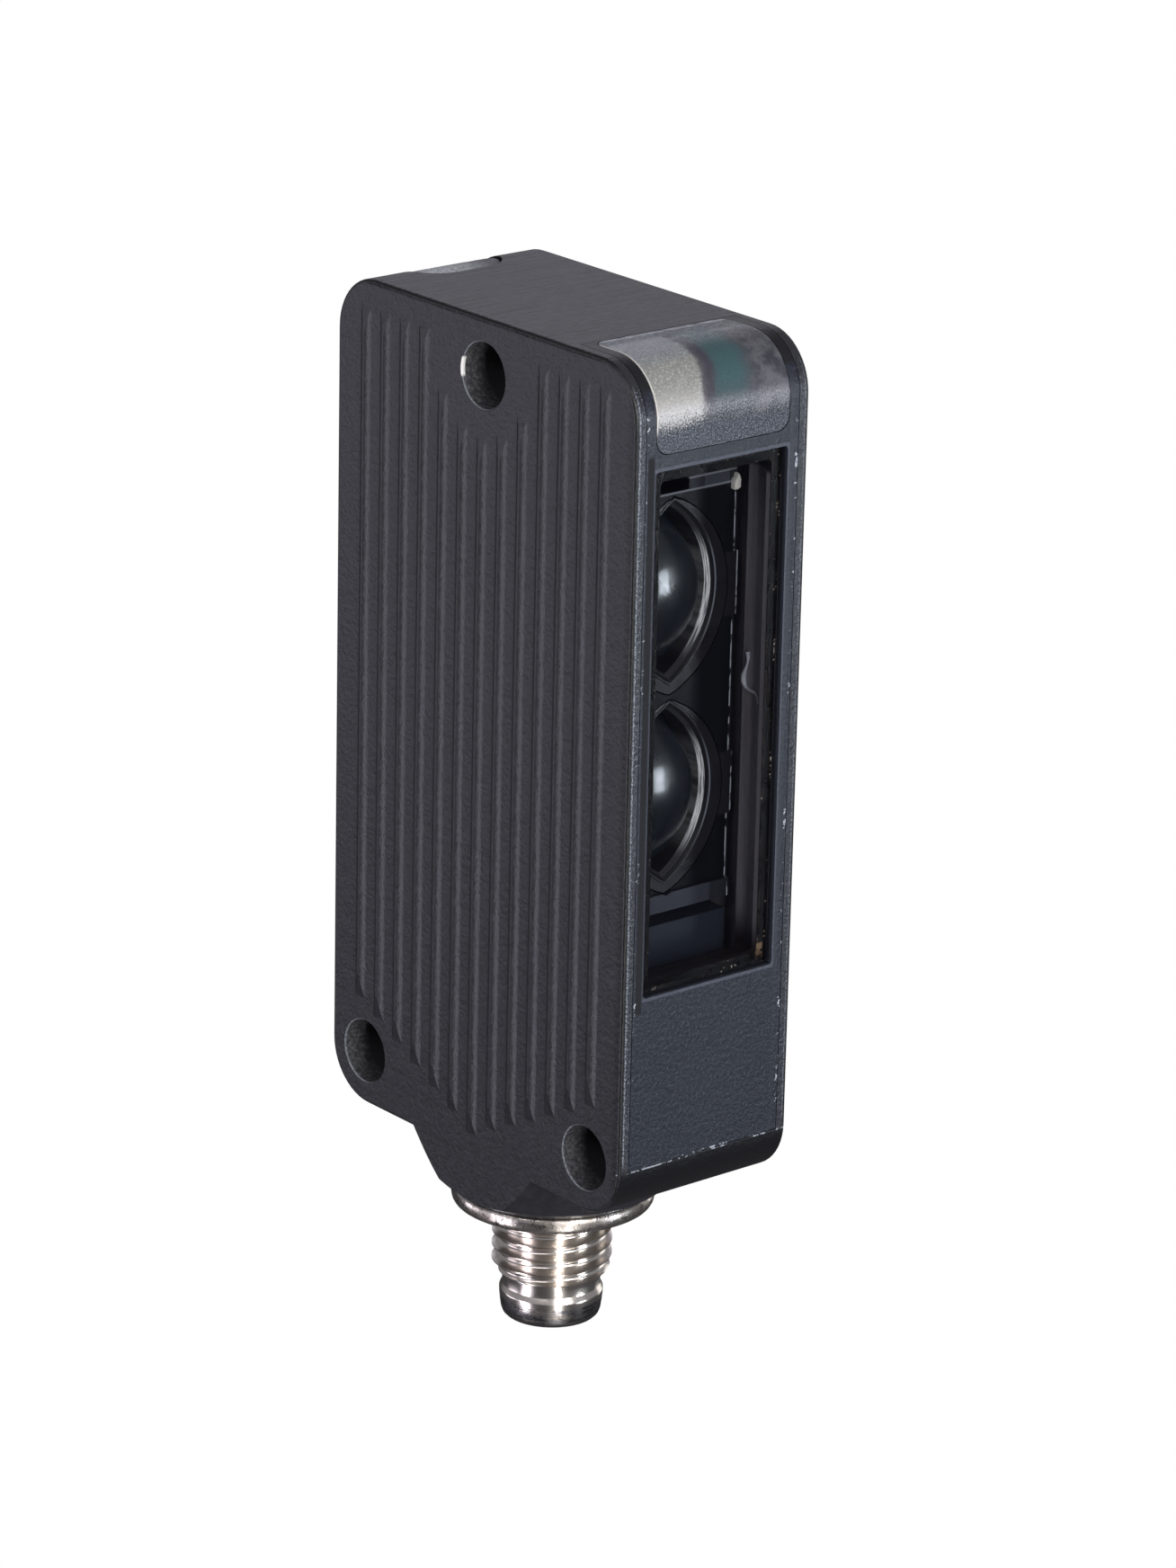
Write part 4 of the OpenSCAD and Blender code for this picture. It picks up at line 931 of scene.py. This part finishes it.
def build_lens(name, centre):
    """Domed lens with a groove round it, in a collar that fills the rest of the carrier's opening."""
    rows = [lens_row(centre, inset, depth) for inset, depth in LENS_PROFILE]
    rows += [lens_row(centre, inset, None) for inset in DOME_INSETS]
    mesh = build_ring_mesh("domed lens", rows)
    close_small_ends(mesh)
    mesh.set_sharp_from_angle(angle=math.radians(35))
    lens = add_piece(name + "_body", mesh, LENS)
    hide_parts(name)
    rows = [lens_row(centre, inset, depth) for inset, depth in COLLAR_PROFILE]
    rows += [lens_row(centre, inset, depth, collar=False) for inset, depth in OPENING_PROFILE]
    rows.append(rows[0])
    collar = build_ring_mesh("lens collar", rows)
    collar.set_sharp_from_angle(angle=math.radians(30))
    add_piece(name + "_collar", collar, COLLAR)


def build_tab():
    """The white tab's worn shape: a thin pointed slip with a ragged foot."""
    outline = ((4.64, 50.5), (4.74, 50.42), (4.82, 50.5), (4.93, 50.4), (5.02, 50.5), (5.12, 50.46),
               (5.18, 50.56), (5.17, 50.9), (5.21, 51.06), (5.13, 51.2), (5.08, 51.38), (4.98, 51.5),
               (4.9, 51.42), (4.84, 51.22), (4.7, 51.1), (4.66, 50.9))
    middle = (4.93, 50.95)
    rows = []
    for share, y in ((1.0, -10.5), (1.0, -10.8), (0.9, -10.87), (0.6, -10.89)):
        rows.append([(middle[0] + (x - middle[0]) * share, y, middle[1] + (z - middle[1]) * share)
                     for x, z in outline])
    mesh = build_ring_mesh("white tab", rows)
    close_small_ends(mesh)
    mesh.set_sharp_from_angle(angle=math.radians(40))
    piece = add_piece("white_tab", mesh, WHITE)
    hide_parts("locating_tab")


# Rear indicator window: half width, length over the corner, corner radius, and the skin it follows
REAR_HALF = 3.6
REAR_LENGTH = 9.39
REAR_CORNER = 2.4
REAR_START = 10.0
BEND_Y = 11.25
BEND_Z = 57.25
BEND_RADIUS = 3.75


def rear_point(x, s, depth):
    """Point on the housing's skin, s along the path over the rear top corner and so deep below it."""
    straight = BEND_Y - REAR_START
    bend = BEND_RADIUS * math.pi / 2
    radius = BEND_RADIUS - depth
    if s < straight:
        return x, REAR_START + s, BEND_Z + radius
    if s < straight + bend:
        turn = (s - straight) / BEND_RADIUS
        return x, BEND_Y + radius * math.sin(turn), BEND_Z + radius * math.cos(turn)
    return x, BEND_Y + radius, BEND_Z - (s - straight - bend)


def rear_outline():
    """Points round the window's outline: x, and the distance along the path from its middle."""
    straight_x = REAR_HALF - REAR_CORNER
    straight_s = REAR_LENGTH / 2 - REAR_CORNER
    points = []
    for number, (side_x, side_s) in enumerate(((1, 1), (-1, 1), (-1, -1), (1, -1))):
        for step in range(13):
            angle = math.radians(90 * number + 7.5 * step)
            points.append((side_x * straight_x + REAR_CORNER * math.cos(angle),
                           side_s * straight_s + REAR_CORNER * math.sin(angle)))
        if number % 2:
            for step in range(1, 20):
                points.append((side_x * REAR_HALF, side_s * straight_s * (1 - step / 10)))
    return points


def build_rear_window():
    """Frosted window bent over the rear top corner, swelling from its sunk edge almost to the skin."""
    # Share of the outline, and depth below the skin
    steps = ((0.02, 1.05), (1.0, 1.05), (1.0, 0.26), (0.98, 0.18), (0.94, 0.12), (0.88, 0.08), (0.8, 0.06),
             (0.65, 0.05), (0.5, 0.05), (0.35, 0.05), (0.2, 0.05), (0.08, 0.05), (0.02, 0.05))
    outline = rear_outline()
    rows = []
    for share, depth in steps:
        rows.append([rear_point(x * share, REAR_LENGTH / 2 + s * share, depth) for x, s in outline])
    mesh = build_ring_mesh("rear window", rows)
    close_small_ends(mesh)
    mesh.set_sharp_from_angle(angle=math.radians(40))
    piece = add_piece("rear_window_body", mesh, REAR_FROST)
    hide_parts("rear_indicator_window")


# Middle line of the string of glue on the wall beside the lenses, in millimetres
STRING_LINE = ((5.12, -12.05, 40.0), (5.06, -12.2, 39.6), (5.04, -12.1, 39.1), (5.05, -11.8, 38.6),
               (5.05, -11.75, 38.1), (5.05, -11.95, 37.7), (5.05, -12.4, 37.55), (5.05, -12.9, 37.6),
               (5.06, -13.2, 37.3), (5.08, -13.25, 36.9))


def build_glue_string():
    """A thin clear string of glue that swells and narrows along its way."""
    curve = bpy.data.curves.new("glue string", "CURVE")
    curve.dimensions = "3D"
    curve.bevel_depth = 0.13 * MM
    curve.bevel_resolution = 3
    line = curve.splines.new("NURBS")
    line.points.add(len(STRING_LINE) - 1)
    for point, place in zip(line.points, STRING_LINE):
        point.co = (place[0] * MM, place[1] * MM, place[2] * MM, 1.0)
        point.radius = 1.0 + 0.6 * math.sin(3.0 * place[2])
    line.use_endpoint_u = True
    line.order_u = 4
    add_piece("glue_string", curve, STRING)


# Stage, lights and camera

# In metres: the middle of the object, which the lamps face, and the floor
OBJECT_MIDDLE = Vector((0, 0, 0.028))
FLOOR_HALF = 14.0
FLOOR_LEVEL = -0.9


def white_to_camera(tree, lit, kind, output):
    """The backdrop is plain white in the picture, and lights the object as the studio's grey one does."""
    path = tree.nodes.new("ShaderNodeLightPath")
    white = tree.nodes.new(kind)
    white.inputs["Color"].default_value = (1, 1, 1, 1)
    mix = tree.nodes.new("ShaderNodeMixShader")
    tree.links.new(path.outputs["Is Camera Ray"], mix.inputs[0])
    tree.links.new(lit, mix.inputs[1])
    tree.links.new(white.outputs[0], mix.inputs[2])
    tree.links.new(mix.outputs[0], output.inputs["Surface"])


def build_stage():
    """A pale floor far below, so that low lamps reach the object over it."""
    mesh = bpy.data.meshes.new("studio floor")
    sides = ((-1, -1), (1, -1), (1, 1), (-1, 1))
    mesh.from_pydata([(x * FLOOR_HALF, y * FLOOR_HALF, FLOOR_LEVEL) for x, y in sides], [], [(0, 1, 2, 3)])
    floor = bpy.data.objects.new("studio_floor", mesh)
    bpy.context.scene.collection.objects.link(floor)
    f = Finish("pale floor")
    tone = f.noise(f.place(), 30.0, 2.0, 0.5)
    f.set(Base_Color=f.blend(tone, rgb(0.15, 0.147, 0.15), rgb(0.18, 0.177, 0.18)), Roughness=0.8,
          Specular_IOR_Level=0.1)
    white_to_camera(f.tree, f.shader.outputs[0], "ShaderNodeEmission", f.output)
    mesh.materials.append(f.material)


def direction(azimuth, elevation):
    """Unit vector so many degrees round from the front towards +X, and so many above the level."""
    a = math.radians(azimuth)
    e = math.radians(elevation)
    return Vector((math.sin(a) * math.cos(e), -math.cos(a) * math.cos(e), math.sin(e)))


def add_light(name, azimuth, elevation, distance, size, power, tint=(1, 1, 1), size_y=None):
    """A soft lamp so many degrees round and above the middle of the object, with its size in metres."""
    data = bpy.data.lights.new(name, "AREA")
    data.shape = "RECTANGLE"
    data.size = size
    data.size_y = size_y or size
    data.energy = power
    data.color = tint
    lamp = bpy.data.objects.new(name, data)
    bpy.context.scene.collection.objects.link(lamp)
    lamp.location = OBJECT_MIDDLE + direction(azimuth, elevation) * distance
    lamp.rotation_euler = (OBJECT_MIDDLE - lamp.location).to_track_quat("-Z", "Y").to_euler()


def light_studio():
    """Dim cool surroundings, and the strips and cards that draw the highlights."""
    world = bpy.data.worlds.new("studio")
    bpy.context.scene.world = world
    world.use_nodes = True
    tree = world.node_tree
    ambient = tree.nodes["Background"]
    ambient.inputs["Color"].default_value = (0.92, 0.92, 1, 1)
    ambient.inputs["Strength"].default_value = 0.22
    white_to_camera(tree, ambient.outputs[0], "ShaderNodeBackground", tree.nodes["World Output"])
    violet = (0.9, 0.87, 1.0)
    blue = (0.82, 0.9, 1.0)
    add_light("key strip", -22, -4, 0.7, 0.08, 3.2, size_y=1.5)
    add_light("front fill", -8, 14, 0.8, 0.3, 2.7)
    add_light("left strip", -98, -14, 0.8, 0.26, 2.0, violet, 0.6)
    add_light("upper left card", -76, 36, 0.8, 0.62, 0.8, size_y=0.1)
    add_light("upper right card", 20, 37, 0.8, 0.2, 0.3)
    add_light("right softbox", 31, -5, 0.75, 0.14, 1.7, blue, 0.22)
    add_light("rear left card", -136, -9, 1.0, 0.46, 0.76, violet, 0.34)
    add_light("rear right card", 140, 24, 1.0, 0.6, 0.62, violet, 0.5)
    add_light("far right card", 98, 0, 1.2, 0.5, 1.6, size_y=0.9)


def place_camera():
    """The photograph's own view, from the fit of its corners, holes, ribs and plug."""
    azimuth = math.radians(CAMERA_AZIMUTH)
    roll = math.radians(CAMERA_ROLL)
    back = direction(CAMERA_AZIMUTH, CAMERA_ELEVATION)
    right = Vector((math.cos(azimuth), math.sin(azimuth), 0))
    up = back.cross(right)
    cam_x = right * math.cos(roll) + up * math.sin(roll)
    cam_y = up * math.cos(roll) - right * math.sin(roll)
    eye = cam_x * CAMERA_PLACE[0] + cam_y * CAMERA_PLACE[1] + back * CAMERA_PLACE[2]
    data = bpy.data.cameras.new("camera")
    data.sensor_fit = "VERTICAL"
    data.sensor_height = SENSOR_HEIGHT
    data.lens = SENSOR_HEIGHT * FOCAL_PIXELS / PHOTO_HEIGHT
    data.clip_start = 0.01
    data.clip_end = 20.0
    camera = bpy.data.objects.new("camera", data)
    bpy.context.scene.collection.objects.link(camera)
    camera.matrix_world = Matrix((
        (cam_x.x, cam_y.x, back.x, eye.x * MM),
        (cam_x.y, cam_y.y, back.y, eye.y * MM),
        (cam_x.z, cam_y.z, back.z, eye.z * MM),
        (0, 0, 0, 1)))
    bpy.context.scene.camera = camera


dress_nodes()
build_plug_shell()
for lens_node, lens_height in zip(("emitter_lens", "receiver_lens"), LENS_HEIGHTS):
    build_lens(lens_node, lens_height)
build_tab()
build_rear_window()
build_glue_string()
build_stage()
light_studio()
place_camera()
bpy.context.scene.view_settings.view_transform = "Standard"
